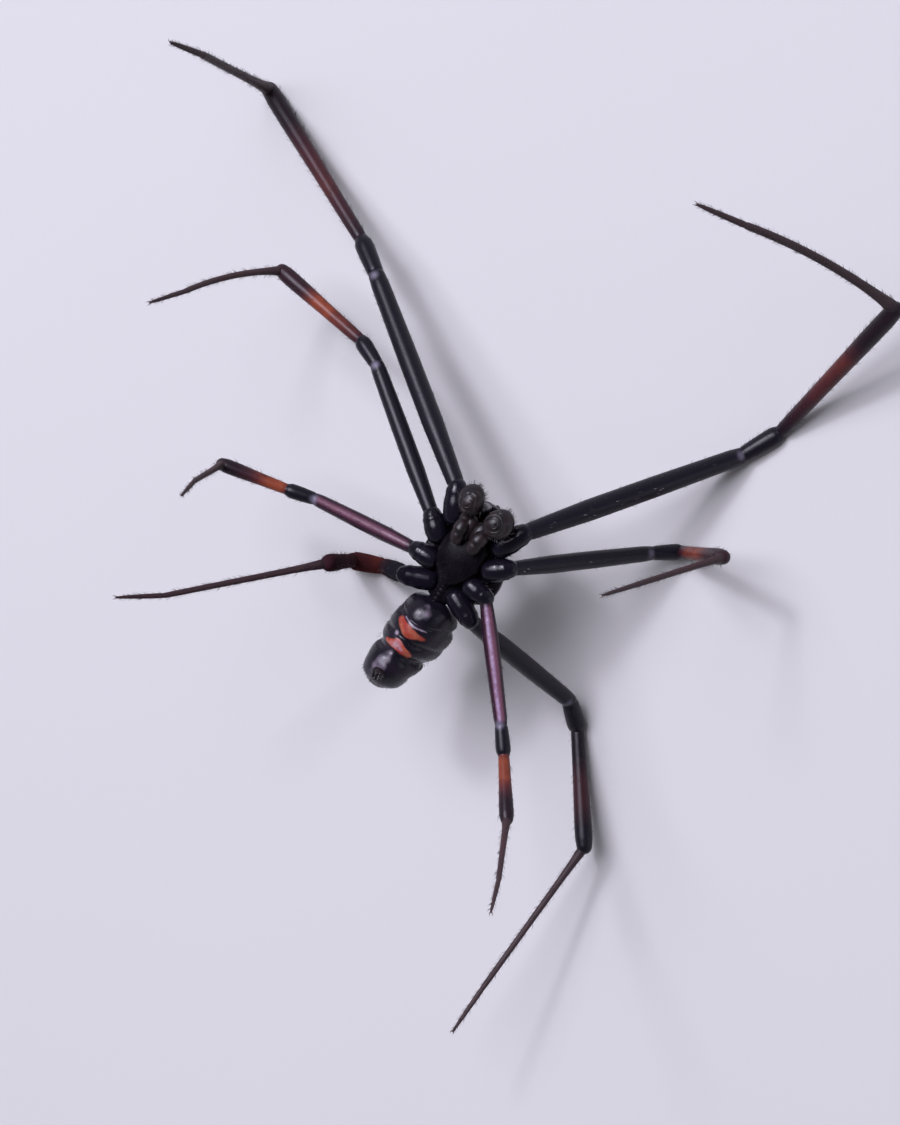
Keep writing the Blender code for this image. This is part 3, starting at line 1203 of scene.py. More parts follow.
@dataclass
class Abdomen:
    """The slim abdomen of a male, folded over its back, with red bars on the belly."""

    # Place along the body, half width, belly level, back level.
    stations: tuple[tuple[float, ...], ...] = (
        (1.11, 0.27, -0.06, -0.44),
        (1.20, 0.47, 0.12, -0.76),
        (1.42, 0.58, 0.24, -1.28),
        (1.80, 0.65, 0.29, -1.62),
        (2.20, 0.64, 0.28, -1.58),
        (2.56, 0.57, 0.25, -1.28),
        (2.92, 0.50, 0.235, -0.98),
        (3.16, 0.43, 0.14, -0.76),
        (3.30, 0.25, -0.05, -0.52),
    )
    lean: Pair = (-0.03, 0.18)
    # Place and depth of each fold over the back, and how much of it reaches the belly.
    folds: tuple[Pair, ...] = ((1.62, 0.15), (2.06, 0.04), (2.50, 0.17), (2.86, 0.12))
    fold_width: float = 0.075
    belly_share: float = 0.06
    fold_span: Pair = (0.25, -0.65)
    # Place, depth and width of each groove across the belly.
    belly_grooves: tuple[Triple, ...] = ((2.06, 0.050, 0.060), (2.44, 0.040, 0.090))
    furrow: Triple = (1.64, 0.030, 0.020)
    swelling: Triple = (2.84, 0.27, 0.075)
    notch: Triple = (2.44, 0.11, 0.10)
    crease_gap: float = 0.085
    # Across, along, half width, half length and height of a lung cover.
    lung_cover: tuple[float, ...] = (0.30, 1.42, 0.20, 0.14, 0.016)
    dimples: tuple[float, ...] = (1.72, 2.16, 2.58)
    dimple: Triple = (0.16, 0.045, 0.03)
    # Markings: across, along and half width at each bend of a line.
    bars: tuple[tuple[Triple, ...], ...] = (
        ((0.33, 1.76, 0.075), (0.05, 1.88, 0.130), (-0.31, 1.85, 0.03)),
        ((0.36, 2.29, 0.04), (0.12, 2.24, 0.120), (-0.17, 2.32, 0.075)),
    )
    bar_strengths: Pair = (0.74, 1.0)
    # The pale line along the fold's rim in front of the first bar is a painted highlight.
    rim: tuple[Triple, ...] = ((0.27, 1.65, 0.012), (0.01, 1.72, 0.016), (-0.28, 1.68, 0.010))
    # Painted highlights on the belly: over the front lobe, across the hind bar and along the tail.
    painted_highlights: tuple[tuple[Triple, ...], ...] = (
        ((0.00, 1.24, 0.03), (-0.07, 1.36, 0.07), (-0.10, 1.44, 0.02)),
        ((0.25, 2.27, 0.01), (0.12, 2.25, 0.085), (-0.02, 2.29, 0.02)),
        ((0.14, 2.44, 0.04), (0.19, 2.75, 0.13), (0.26, 3.10, 0.07)),
    )
    # How strong each painted highlight is.
    bloom_strengths: Triple = (0.25, 0.72, 0.30)
    # A small painted highlight between the bars: across, along and radius.
    glint: Triple = (0.26, 2.04, 0.05)
    # Place and radius of each red spot on the back, and the pale ring's width.
    back_spots: tuple[Pair, ...] = ((1.55, 0.07), (1.92, 0.09), (2.30, 0.08), (2.62, 0.06))
    spot_ring: float = 0.035
    # Levels over which the skin is belly, and under which it is back.
    belly_level: float = -0.35
    back_level: float = -0.6
    cap_start: float = 0.87
    cap_bulges: Pair = (0.23, -0.36)
    cap_rings: int = 12
    around: int = 168
    along: int = 210
    bristle_count: int = 420
    bristle_rows: int = 120
    bristle_width: float = 0.0055

    def build(self, bench: Bench) -> None:
        """Make the skin with its marks: red bars and spots, pale rings round the spots, and
        painted highlights on the belly.

        Args:
            bench: seats the pieces.
        """
        form = self.skin()
        mesh, points = form.mesh(), form.points
        belly, back = points[:, 2] > self.belly_level, points[:, 2] < self.back_level
        red = np.zeros(len(points))
        edge = 0.02 * ripple(points, 9.0, 1.0)
        for bar, strength in zip(self.bars, self.bar_strengths):
            red = np.maximum(red, strength * self.stripe(points, bar, edge, 0.030))
        red *= belly
        # Painted highlights: the glint between the bars, then the listed streaks.
        across, along, size = self.glint
        bloom = np.clip(1.3 - np.hypot(points[:, 0] - across, points[:, 1] - along) / size, 0, 1)
        patchy = 0.35 * ripple(points, 8.0, 9.0)
        for line, strength in zip(self.painted_highlights, self.bloom_strengths):
            share = np.clip(strength + patchy, 0, 1)
            bloom = np.maximum(bloom, share * self.stripe(points, line, edge * 2.0, 0.09))
        # Pale line along the rim of the fold before the first bar: a painted highlight.
        pale = self.stripe(points, self.rim, edge * 0.4, 0.014) * belly * 0.8
        for place, size in self.back_spots:
            gap = np.hypot(points[:, 0] - self.middle(place), points[:, 1] - place)
            spot = np.clip((size + edge - gap) / 0.02, 0, 1) * back
            ring = np.clip((size + self.spot_ring + edge - gap) / 0.02, 0, 1) * back
            red = np.maximum(red, spot)
            pale = np.maximum(pale, (ring - spot) * 0.8)
        paint(mesh, "red", red)
        # The pale marks hold the back's rings and the painted highlights on the belly.
        paint(mesh, "pale", np.maximum(pale * (1 - red), bloom * belly))
        bench.seat("abdomen_skin", mesh, bench.belly, ("abdomen",), 70.0)

    def middle(self, place: float) -> float:
        """How far the middle stands to the spider's right at a place along the abdomen."""
        front, back = self.stations[0][0], self.stations[-1][0]
        return self.lean[0] + (self.lean[1] - self.lean[0]) * (place - front) / (back - front)

    def sunk(self, along: Any, rise: Any) -> Any:
        """How deep the folds are.

        Args:
            along: place along the body.
            rise: sine of the angle from the level, round the body.

        Returns:
            Depth in millimetres.
        """
        start, full = self.fold_span
        share = np.clip((start - rise) / (start - full), 0, 1)
        depth = sum(deep * bell(along - fold, self.fold_width) for fold, deep in self.folds)
        return depth * (self.belly_share + (1 - self.belly_share) * share)

    def stripe(
        self, points: np.ndarray, line: Sequence[Triple], edge: np.ndarray, blur: float
    ) -> np.ndarray:
        """Share of paint of a tapering stripe seen from the belly.

        Args:
            points: rows of places.
            line: across, along and half width at each bend.
            edge: added to the half width.
            blur: width of the soft edge.

        Returns:
            One number a row, from 0 to 1.
        """
        best = np.full(len(points), -1.0)
        for (ax, ay, aw), (bx, by, bw) in zip(line, line[1:]):
            way = np.array((bx - ax, by - ay))
            offset = points[:, :2] - np.array((ax, ay))
            share = np.clip(offset @ way / (way @ way), 0, 1)
            gap = np.linalg.norm(offset - share[:, None] * way, axis=1)
            best = np.maximum(best, aw + (bw - aw) * share - gap)
        return np.clip((best + edge) / blur + 0.5, 0, 1)

    def skin(self) -> Form:
        """The closed skin with its relief.

        Returns:
            The skin.
        """
        angles = turns(self.around)
        stations = smooth_line(self.stations, self.along)
        rows = [self.ring(angles, *station) for station in stations]
        for end, bulge in zip((0, -1), self.cap_bulges):
            place, half, top, bottom = stations[end]
            cap = []
            for step in np.linspace(self.cap_start, math.pi / 2, self.cap_rings)[1:-1]:
                shrink = math.cos(step) / math.cos(self.cap_start)
                push = bulge * (math.sin(step) - math.sin(self.cap_start))
                middle, reach = (top + bottom) / 2, (top - bottom) / 2 * shrink
                levels = (middle + reach, middle - reach)
                cap.append(self.ring(angles, place - push, half * shrink, *levels))
            rows = cap[::-1] + rows if end == 0 else rows + cap
        rings = np.array(rows)
        points = rings.reshape(-1, 3)
        middles = np.repeat(rings.mean(axis=1), self.around, axis=0)
        depth = self.relief(points, np.tile(angles, len(rings)))
        points += unit(middles - points) * depth[:, None]
        return lofted(rings)

    def relief(self, points: np.ndarray, turn: np.ndarray) -> np.ndarray:
        """How deep the skin lies under its plain shape: folds, grooves, covers and creases.

        Args:
            points: places on the plain shape.
            turn: each place's angle round the body.

        Returns:
            Depth in millimetres, one number a place.
        """
        along, sine = points[:, 1], np.sin(turn)
        wander = 0.035 * ripple(points, 2.6, 7.0)
        depth = self.sunk(along + wander, sine)
        flank = np.clip(1.1 - np.abs(sine), 0, 1) * np.clip(0.2 - sine, 0, 1)
        depth += 0.004 * np.sin((along + 2.0 * wander) * WHOLE_TURN / self.crease_gap) * flank
        depth += 0.012 * ripple(points, 2.4, 2.0) + 0.0025 * ripple(points, 12.0, 4.0)
        belly = np.clip(sine, 0, 1)
        place, width, sunk = self.furrow
        line = place - 0.35 * (points[:, 0] - 0.03) ** 2
        depth += sunk * bell(along - line, width) * belly**2
        for place, sunk, width in self.belly_grooves:
            depth += sunk * bell(along - place + wander, width) * belly
        place, width, height = self.swelling
        depth -= height * bell(along - place, width) * belly
        place, width, sunk = self.notch
        side_share = np.abs(np.cos(turn)) * np.clip(sine + 0.5, 0, 1)
        depth += sunk * bell(along - place, width) * side_share
        across, place, half, reach, height = self.lung_cover
        aside, size, sunk = self.dimple
        back = points[:, 2] < self.back_level
        for side in Side:
            plate = np.hypot((points[:, 0] - across * side.value) / half, (along - place) / reach)
            depth -= height * np.clip(1.2 - plate, 0, 0.4) * belly
            for spot in self.dimples:
                middle = self.middle(spot)
                gap = np.hypot(points[:, 0] - middle - aside * side.value, along - spot)
                depth += sunk * bell(gap, size) * back
        return depth

    def ring(
        self, angles: np.ndarray, place: float, half: float, top: float, bottom: float
    ) -> np.ndarray:
        """One oval across the abdomen.

        Args:
            angles: angle of each corner.
            place: along the body.
            half: half width.
            top: belly level.
            bottom: back level.

        Returns:
            Rows of points.
        """
        middle, reach = (top + bottom) / 2, (top - bottom) / 2
        return oval(angles, (self.middle(place), place, middle), half, reach)

    def bristles(self, coat: Coat, chance: np.random.Generator) -> None:
        """Plant short bristles over the whole skin.

        Args:
            coat: takes the bristles.
            chance: the seeded dice.
        """
        stations = smooth_line(self.stations, self.bristle_rows)
        for _ in range(self.bristle_count):
            row = stations[chance.integers(0, self.bristle_rows)]
            turn = chance.uniform(0, WHOLE_TURN)
            sunk = self.sunk(row[0], math.sin(turn))
            ring = self.ring(np.array([turn]), *row)[0]
            middle = np.array((self.middle(row[0]), row[0], (row[2] + row[3]) / 2))
            out = unit(ring - middle)
            root = ring - out * (sunk + 0.012)
            start = out + np.array((0.0, 0.55, 0.0)) + chance.normal(0, 0.12, 3)
            length = chance.uniform(0.04, 0.07)
            place = (0.1 + 0.8 * (row[0] - 1.13) / 2.17, turn / WHOLE_TURN)
            coat.add(root, start, (0.0, 0.35, 0.0), length, self.bristle_width, place)


@dataclass
class Spinnerets:
    """Six short cones in a rosette on a low mound, with the small tubercle over them."""

    root: Triple = (0.12, 2.95, 0.27)
    lean: float = 40.0
    length: float = 0.16
    radius: float = 0.070
    spread: Pair = (0.07, 0.03)
    # Share of the length and of the radius.
    profile: tuple[Pair, ...] = (
        (0, 0.9), (0.35, 1.0), (0.58, 0.9), (0.64, 0.76), (0.9, 0.62), (1, 0.40)
    )
    mound: Triple = (0.15, 0.12, 0.10)
    tubercle: Triple = (0.035, 0.035, 0.05)
    lifts: Pair = (0.02, 0.10)
    count: int = 6

    def build(self, bench: Bench) -> None:
        """Make the group.

        Args:
            bench: seats the pieces.
        """
        out = direction(180.0, 90.0 - self.lean)
        across = np.cross(out, LEVEL_RIGHT)
        root = np.array(self.root)
        share = np.linspace(0, 1, 14)
        radii = self.radius * read(self.profile, share)
        forms = [ball(root + out * self.lifts[0], self.mound, 32)]
        for index in range(self.count):
            angle = math.pi / 6 + index * math.pi / 3
            spread = LEVEL_RIGHT * math.cos(angle) + across * math.sin(angle)
            base = root + spread * self.spread[0]
            tip = base + out * self.length + spread * self.spread[1]
            forms.append(tube(base + np.outer(share, tip - base), radii, 20, 0.5))
        forms.append(ball(root + out * self.lifts[1], self.tubercle, 16))
        nodes = ("spinnerets",)
        bench.seat("spinneret_group", fused(forms), bench.tail, nodes)


@dataclass
class Jaw:
    """One jaw with its fang, hanging from the front of the carapace."""

    side: Side
    line: tuple[Triple, ...] = (
        (0.150, -1.04, -0.46),
        (0.150, -1.12, -0.30),
        (0.150, -1.13, -0.18),
        (0.140, -1.14, 0.0),
        (0.115, -1.10, 0.14),
    )
    radii: tuple[float, ...] = (0.105, 0.115, 0.118, 0.110, 0.072)
    fang: tuple[Triple, ...] = ((0.115, -1.09, 0.16), (0.085, -1.05, 0.23), (0.035, -0.99, 0.24))
    fang_radii: Pair = (0.032, 0.006)
    along: int = 30
    fang_along: int = 16

    def build(self, bench: Bench) -> None:
        """Make the jaw and the fang.

        Args:
            bench: seats the pieces.
        """
        mirror, name = self.side.mirror, self.side.label
        line = smooth_line(self.line, self.along) * mirror
        form = tube(line, smooth_radii(self.radii, self.along), 32)
        nodes = (f"chelicera_{name}",)
        bench.seat(f"jaw_{name}", form.mesh(), bench.shell, nodes)
        fang = smooth_line(self.fang, self.fang_along) * mirror
        horn = tube(fang, np.linspace(*self.fang_radii, self.fang_along), 16)
        bench.seat(f"fang_{name}", horn.mesh(), bench.horn)


@dataclass
class Palp:
    """One palp: the limb beside the lip, its tip's hairy cup, and the coiled organ in it."""

    side: Side
    centre: Triple
    line: tuple[Triple, ...] = (
        (0.200, -0.38, 0.38),
        (0.220, -0.58, 0.42),
        (0.250, -0.76, 0.34),
        (0.310, -0.96, 0.14),
        (0.380, -1.18, 0.05),
        (0.390, -1.34, 0.12),
    )
    radii: tuple[float, ...] = (0.140, 0.170, 0.160, 0.145, 0.135, 0.120)
    waists: tuple[float, ...] = (0.17, 0.40, 0.62, 0.82)
    waist_depth: float = 0.13
    waist_width: float = 0.030
    plate_place: Triple = (0.14, -0.70, 0.27)
    plate: Triple = (0.185, 0.30, 0.165)
    bulb: Triple = (0.27, 0.30, 0.25)
    groove_pitch: float = 1.6
    groove: Pair = (0.07, 0.07)
    cup_shift: Triple = (0.05, -0.03, -0.07)
    cup: Triple = (0.28, 0.335, 0.25)
    coil_turns: float = 1.75
    coil_radii: Pair = (0.205, 0.06)
    coil_lift: Pair = (0.150, 0.246)
    coil_wire: Pair = (0.030, 0.015)
    coil_stretch: float = 1.1
    along: int = 60
    coil_along: int = 110
    bristle_tries: int = 230
    bristle_top: float = 0.35
    bristle_width: float = 0.0045

    def build(self, bench: Bench) -> None:
        """Make the limb and the tip.

        Args:
            bench: seats the pieces.
        """
        mirror, name = self.side.mirror, self.side.label
        share = np.linspace(0, 1, self.along)
        radii = smooth_radii(self.radii, self.along)
        for waist in self.waists:
            radii = radii * (1 - self.waist_depth * bell(share - waist, self.waist_width))
        limb = tube(smooth_line(self.line, self.along) * mirror, radii, 36)
        plate = ball(np.array(self.plate_place) * mirror, self.plate)
        tip = [self.organ(), self.hood(), self.coil()]
        for part, node, forms in (("limb", "palp", [limb, plate]), ("tip", "palp_bulb", tip)):
            nodes = (f"{node}_{name}",)
            bench.seat(f"palp_{part}_{name}", fused(forms), bench.palp, nodes)

    def organ(self) -> Form:
        """The swollen organ, with a groove that winds round it.

        Returns:
            The organ.
        """
        form = ball(self.centre, self.bulb, 64)
        offset = form.points - np.array(self.centre)
        turn = np.arctan2(offset[:, 1], offset[:, 0]) * self.side.value / WHOLE_TURN
        rise = offset[:, 2] / self.bulb[2]
        phase = np.mod(rise * self.groove_pitch + turn + 0.5, 1.0) - 0.5
        sunk, width = self.groove
        form.points -= offset * (sunk * bell(phase, width))[:, None]
        form.points += unit(offset) * (0.008 * ripple(form.points, 9.0, 6.0))[:, None]
        return form

    @property
    def cup_centre(self) -> np.ndarray:
        """The middle of the cup."""
        return np.array(self.centre) + np.array(self.cup_shift) * self.side.mirror

    def hood(self) -> Form:
        """The cup that holds the organ from behind.

        Returns:
            The cup.
        """
        form = ball(self.cup_centre, self.cup, 56)
        offset = form.points - np.array(self.centre)
        form.points += unit(offset) * (0.012 * ripple(form.points, 6.0, 8.0))[:, None]
        return form

    def coil(self) -> Form:
        """The wiry duct, coiled over the organ and thinner at its end.

        Returns:
            The duct.
        """
        share = np.linspace(0, 1, self.coil_along)
        turn = WHOLE_TURN * self.coil_turns * share * self.side.value
        reach = self.coil_radii[0] + (self.coil_radii[1] - self.coil_radii[0]) * share
        lift = self.coil_lift[0] + (self.coil_lift[1] - self.coil_lift[0]) * share
        across, along = reach * np.cos(turn), reach * self.coil_stretch * np.sin(turn)
        line = np.stack((across, along, lift), axis=1) + np.array(self.centre)
        return tube(line, self.coil_wire[0] - self.coil_wire[1] * share, 14)

    def bristles(self, coat: Coat, chance: np.random.Generator) -> None:
        """Plant bristles over the cup's outer half.

        Args:
            coat: takes the bristles.
            chance: the seeded dice.
        """
        shift = 0.3 * (self.side is Side.LEFT)
        for _ in range(self.bristle_tries):
            out = unit(chance.normal(0, 1, 3))
            if out[2] > self.bristle_top:
                continue
            root = self.cup_centre + out * np.array(self.cup)
            place = (0.2 + shift + 0.12 * (out[0] + 1), 0.05 + 0.12 * (out[1] + 1))
            start = out + np.array((0.0, -0.35, 0.1)) + chance.normal(0, 0.15, 3)
            length = chance.uniform(0.05, 0.10)
            coat.add(root, start, (0.0, -0.2, 0.1), length, self.bristle_width, place)


# The legs


@dataclass(frozen=True)
class LegPlan:
    """Sizes that both legs of a pair share, for the right side."""

    lengths: tuple[float, ...]
    radii: tuple[float, ...]
    root: Triple
    tip: Triple


# Lengths from femur to tarsus, radii from coxa to tarsus, and the coxa's two ends.
LEG_PLANS = {
    1: LegPlan(
        (5.20, 0.92, 4.30, 4.62, 1.27), (0.248, 0.230, 0.205, 0.198, 0.092, 0.070),
        (0.58, -0.64, -0.05), (0.86, -1.20, -0.05),
    ),
    2: LegPlan(
        (3.54, 0.68, 2.40, 2.90, 1.07), (0.242, 0.192, 0.178, 0.175, 0.068, 0.054),
        (0.66, -0.12, -0.05), (1.00, -0.40, -0.05),
    ),
    3: LegPlan(
        (2.65, 0.62, 1.50, 2.00, 0.90), (0.226, 0.168, 0.160, 0.155, 0.064, 0.050),
        (0.50, 0.37, -0.05), (0.90, 0.40, -0.05),
    ),
    4: LegPlan(
        (3.60, 0.74, 2.57, 3.70, 1.12), (0.236, 0.205, 0.205, 0.190, 0.068, 0.056),
        (0.31, 0.78, -0.18), (0.85, 1.02, -0.18),
    ),
}
# Heading and rise of femur, patella, tibia, metatarsus and tarsus.
STANCES = {
    (Side.RIGHT, 1): ((61, -19), (65, -25), (71, -17), (20, 81), (78, 74)),
    (Side.RIGHT, 2): ((59, -15), (73, -19), (85, -7), (139, 64), (149, 64)),
    (Side.RIGHT, 3): ((101, -12), (104, 12), (101, 14), (-118, 83), (-140, 74)),
    (Side.RIGHT, 4): ((128, -65), (110, 28), (-30, 82), (134, 40), (122, 47)),
    (Side.LEFT, 1): ((-36, -38), (-26, -8), (-14, 23), (84, 52), (94, 44)),
    (Side.LEFT, 2): ((-53, -49), (-57, -40), (-54, 53), (141, 65), (141, 67)),
    (Side.LEFT, 3): ((-139, 3), (-139, 9), (-134, 30), (-128, 58), (-142, 51)),
    (Side.LEFT, 4): ((-112, -49), (-142, -33), (-140, 12), (180, 19), (-179, 18)),
}
# How each piece swells: share of the length, share of the radius.
PROFILES = {
    Segment.COXA: (
        (0.0, 0.98), (0.20, 1.03), (0.45, 1.05), (0.62, 1.0), (0.685, 0.96), (0.705, 0.90),
        (0.73, 0.95), (0.86, 0.96), (0.95, 0.91), (1.0, 0.84),
    ),
    Segment.FEMUR: (
        (0.0, 0.70), (0.03, 0.80), (0.10, 0.86), (0.30, 1.0), (0.60, 0.98), (0.85, 0.90),
        (0.95, 0.87), (1.0, 0.78),
    ),
    Segment.PATELLA: (
        (0.0, 0.72), (0.12, 0.86), (0.45, 0.95), (0.80, 1.0), (0.94, 0.96), (1.0, 0.84)
    ),
    Segment.TIBIA: (
        (0.0, 0.66), (0.05, 0.76), (0.15, 0.79), (0.45, 0.86), (0.78, 0.99), (0.93, 1.0),
        (1.0, 0.88),
    ),
    Segment.METATARSUS: (
        (0.0, 1.40), (0.04, 1.55), (0.12, 1.25), (0.25, 1.05), (0.60, 0.94), (0.95, 0.88),
        (1.0, 0.84),
    ),
    Segment.TARSUS: (
        (0.0, 0.88), (0.10, 1.0), (0.50, 0.86), (0.80, 0.68), (0.94, 0.50), (1.0, 0.36)
    ),
}
# How warm each tibia's brown is: share of the length, warmth.
WARMTH = {
    (Side.RIGHT, 1): ((0.00, 0.03), (0.14, 0.16), (0.35, 0.31), (0.60, 0.25), (0.77, 0.05)),
    (Side.RIGHT, 2): ((0.02, 0.22), (0.20, 0.38), (0.40, 0.58), (0.55, 0.62), (0.74, 0.12)),
    (Side.RIGHT, 3): ((0.02, 0.40), (0.10, 0.64), (0.32, 0.60), (0.60, 0.20), (0.8, 0.05)),
    (Side.RIGHT, 4): ((0.00, 0.24), (0.25, 0.22), (0.60, 0.19), (1.0, 0.16)),
    (Side.LEFT, 1): ((0.03, 0.02), (0.16, 0.12), (0.34, 0.31), (0.60, 0.36), (0.75, 0.05)),
    (Side.LEFT, 2): ((0.05, 0.06), (0.25, 0.46), (0.50, 0.56), (0.80, 0.14)),
    (Side.LEFT, 3): ((0.02, 0.35), (0.12, 0.62), (0.40, 0.56), (0.75, 0.06)),
    (Side.LEFT, 4): ((0.25, 0.02), (0.45, 0.24), (0.65, 0.20), (0.85, 0.0)),
}
# Which way the lighter mauve band and the pale stripe of a third thigh face: the band is painted
# shade, lighter towards the lamps and dark on the flanks, and the stripe a painted highlight.
STRIPE_WAYS = {
    Side.RIGHT: ((-0.15, -0.32, 0.94), (0.02, -0.57, 0.92)),
    Side.LEFT: ((-0.29, -0.29, 0.92), (-0.11, -0.17, 0.98)),
}
# How far the middle of a metatarsus bows, in millimetres.
BOWS = {
    (Side.RIGHT, 2): (0.082, -0.074, 0.0),
    (Side.LEFT, 1): (0.014, -0.130, -0.030),
}
# Bristles on a square millimetre, and their usual length.
BRISTLES = {
    Segment.COXA: (14.0, 0.07),
    Segment.FEMUR: (20.0, 0.065),
    Segment.PATELLA: (26.0, 0.08),
    Segment.TIBIA: (48.0, 0.085),
    Segment.METATARSUS: (150.0, 0.080),
    Segment.TARSUS: (240.0, 0.070),
}
# How matt each piece is, from the coxa out.
MATT = np.array((0.0, 0.55, 0.50, 0.60, 1.2, 1.2))
# The leg whose steep shafts are quite dull and reddish at the knee, and how dull they are.
DULL_LEG = (Side.RIGHT, 4)
DULL_MATT = 2.6
VIOLET_PAIR = 3
COMB_PAIR = 4
# Pairs whose metatarsi glow near the middle: how much, where and over what share.
GLOWING_PAIRS = (2, 3)
GLOW = (0.36, 0.45, 0.35)


@dataclass
class Leg:
    """One leg: a single skin from the coxa to the tarsus, claws and bristles."""

    side: Side
    pair: int
    sides: int = 32
    ring_gap: float = 0.055
    least_rings: int = 14
    knuckle: float = 0.97
    # Half length and half width of the pale patch on the knee, and its strength: soft skin,
    # painted paler as the knee's glint, so partly a painted highlight.
    soft_size: Pair = (0.12, 0.13)
    soft_strength: float = 0.8
    # Spread, reach and bend of each claw, and the claws' radii.
    claw_shapes: tuple[Triple, ...] = (
        (0.022, 0.085, 0.05), (-0.022, 0.085, 0.05), (0.0, 0.05, 0.04)
    )
    claw_radii: Pair = (0.012, 0.003)
    bristle_width: float = 0.0042
    comb_count: int = 11
    comb_size: Pair = (0.13, 0.009)
    joints: list[np.ndarray] = field(default_factory=list)

    def __post_init__(self) -> None:
        """Work out where the joints are."""
        plan, mirror = LEG_PLANS[self.pair], self.side.mirror
        self.radii = plan.radii
        self.joints = [np.array(plan.root) * mirror, np.array(plan.tip) * mirror]
        for angles, length in zip(STANCES[self.key], plan.lengths):
            self.joints.append(self.joints[-1] + direction(*angles) * length)

    @property
    def key(self) -> tuple[Side, int]:
        """What the tables call the leg."""
        return self.side, self.pair

    @property
    def label(self) -> str:
        """The leg's name."""
        return f"leg_{self.side.label}_{self.pair}"

    def ends(self, segment: Segment) -> tuple[np.ndarray, np.ndarray]:
        """Where a piece starts and where it ends."""
        return self.joints[segment.value], self.joints[segment.value + 1]

    def radius(self, segment: Segment, share: Any) -> Any:
        """Radius of a piece at a share of its length."""
        return self.radii[segment.value] * read(PROFILES[segment], share)

    def axis(self, segment: Segment, share: Any) -> np.ndarray:
        """Places on the middle line of a piece.

        Args:
            segment: which piece.
            share: one or more shares of its length.

        Returns:
            A place for each share.
        """
        start, end = self.ends(segment)
        line = start + np.multiply.outer(share, end - start)
        if segment is Segment.METATARSUS and self.key in BOWS:
            line = line + np.multiply.outer(4 * share * (1 - share), np.array(BOWS[self.key]))
        return line

    def shaft(self, segment: Segment) -> Form:
        """One piece as a round bar with its own swelling.

        Args:
            segment: which piece.

        Returns:
            The bar.
        """
        start, end = self.ends(segment)
        length = float(np.linalg.norm(end - start))
        share = np.linspace(0, 1, max(int(length / self.ring_gap), self.least_rings))
        share = share - 0.04 * np.sin(WHOLE_TURN * share)
        return tube(self.axis(segment, share), self.radius(segment, share), self.sides, 0.75)

    def build(self, bench: Bench) -> None:
        """Make the skin and the claws.

        Args:
            bench: seats the pieces.
        """
        segments = list(Segment)
        forms = [self.shaft(segment) for segment in segments]
        for inner, outer in zip(segments, segments[1:]):
            radius = max(self.radius(inner, 1.0), self.radius(outer, 0.0)) * self.knuckle
            forms.append(ball(self.joints[outer.value], (radius,) * 3, 28))
        mesh = fused(forms)
        self.colour(mesh)
        nodes = [f"{self.label}_{segment.name.lower()}" for segment in segments]
        finish = bench.dull_leg if self.key == DULL_LEG else bench.leg
        bench.seat(f"{self.label}_skin", mesh, finish, nodes, 55.0)
        bench.seat(f"{self.label}_claws", self.claws(), bench.horn)

    def nearest(self, points: np.ndarray) -> tuple[np.ndarray, np.ndarray, np.ndarray]:
        """Which piece each point lies on, and where along it.

        Args:
            points: rows of places.

        Returns:
            Numbers of the pieces, shares of their lengths, and the nearest places inside.
        """
        gaps, shares, insides = [], [], []
        for segment in Segment:
            start, end = self.ends(segment)
            way = end - start
            share = np.clip((points - start) @ way / (way @ way), 0, 1)
            middle = self.axis(segment, share)
            reach = np.linalg.norm(points - middle, axis=1)
            gaps.append(np.abs(reach - self.radius(segment, share)))
            shares.append(share)
            insides.append(middle)
        best = np.argmin(np.array(gaps), axis=0)
        row = np.arange(len(points))
        return best, np.array(shares)[best, row], np.array(insides)[best, row]

    def colour(self, mesh: bpy.types.Mesh) -> None:
        """Keep the leg's markings on its skin, with the third thighs' painted shade and painted
        highlight, and the knee patch that is partly a painted highlight.

        Args:
            mesh: the skin, in millimetres.
        """
        points = corners_of(mesh)
        piece, share, middles = self.nearest(points)
        on = {segment: piece == segment.value for segment in Segment}
        warm = np.where(on[Segment.TIBIA], read(WARMTH[self.key], share), 0.0)
        if self.pair in GLOWING_PAIRS:
            strength, place, width = GLOW
            warm = np.where(on[Segment.METATARSUS], strength * bell(share - place, width), warm)
        thigh = np.clip(np.minimum((share - 0.03) / 0.06, (1.0 - share) / 0.03), 0, 1)
        violet = np.where(on[Segment.FEMUR] & (self.pair == VIOLET_PAIR), thigh, 0.0)
        brown = np.where(piece >= Segment.METATARSUS.value, 1.0, 0.0)
        start = on[Segment.METATARSUS] & (share < 0.08)
        brown = np.where(start, np.clip(share / 0.08, 0, 1), brown)
        matt = MATT[piece] - 0.3 * violet
        if self.key == DULL_LEG:
            warm = np.where(on[Segment.PATELLA], 0.42 - 0.16 * share, warm)
            end = np.clip((share - 0.5) / 0.5, 0, 1)
            warm = np.where(on[Segment.FEMUR], 0.30 * end, warm)
            matt = np.where((piece > 0) & (piece < 4), DULL_MATT, matt)
        out = unit(points - middles)
        mauve, pale = STRIPE_WAYS[self.side]
        # Lighter band on the side of a third thigh that faces the light, dark on its flanks:
        # painted shade.
        stripe = np.clip((out @ unit(np.array(mauve)) - 0.76) / 0.18, 0, 1) * violet
        # Narrow pale stripe on a third thigh: a painted highlight.
        bloom = np.clip((out @ unit(np.array(pale)) - 0.965) / 0.03, 0, 1) * violet
        marks = {"warm": warm, "violet": violet, "brown": brown, "soft": self.soft(points)}
        marks |= {"matt": matt, "stripe": stripe, "bloom": bloom}
        for name, values in marks.items():
            paint(mesh, name, values)

    def soft(self, points: np.ndarray) -> np.ndarray:
        """How much of the pale patch over the knee shows: soft skin, painted paler as the knee's
        glint, so partly a painted highlight.

        Args:
            points: rows of places.

        Returns:
            One number a row, from 0 to 1.
        """
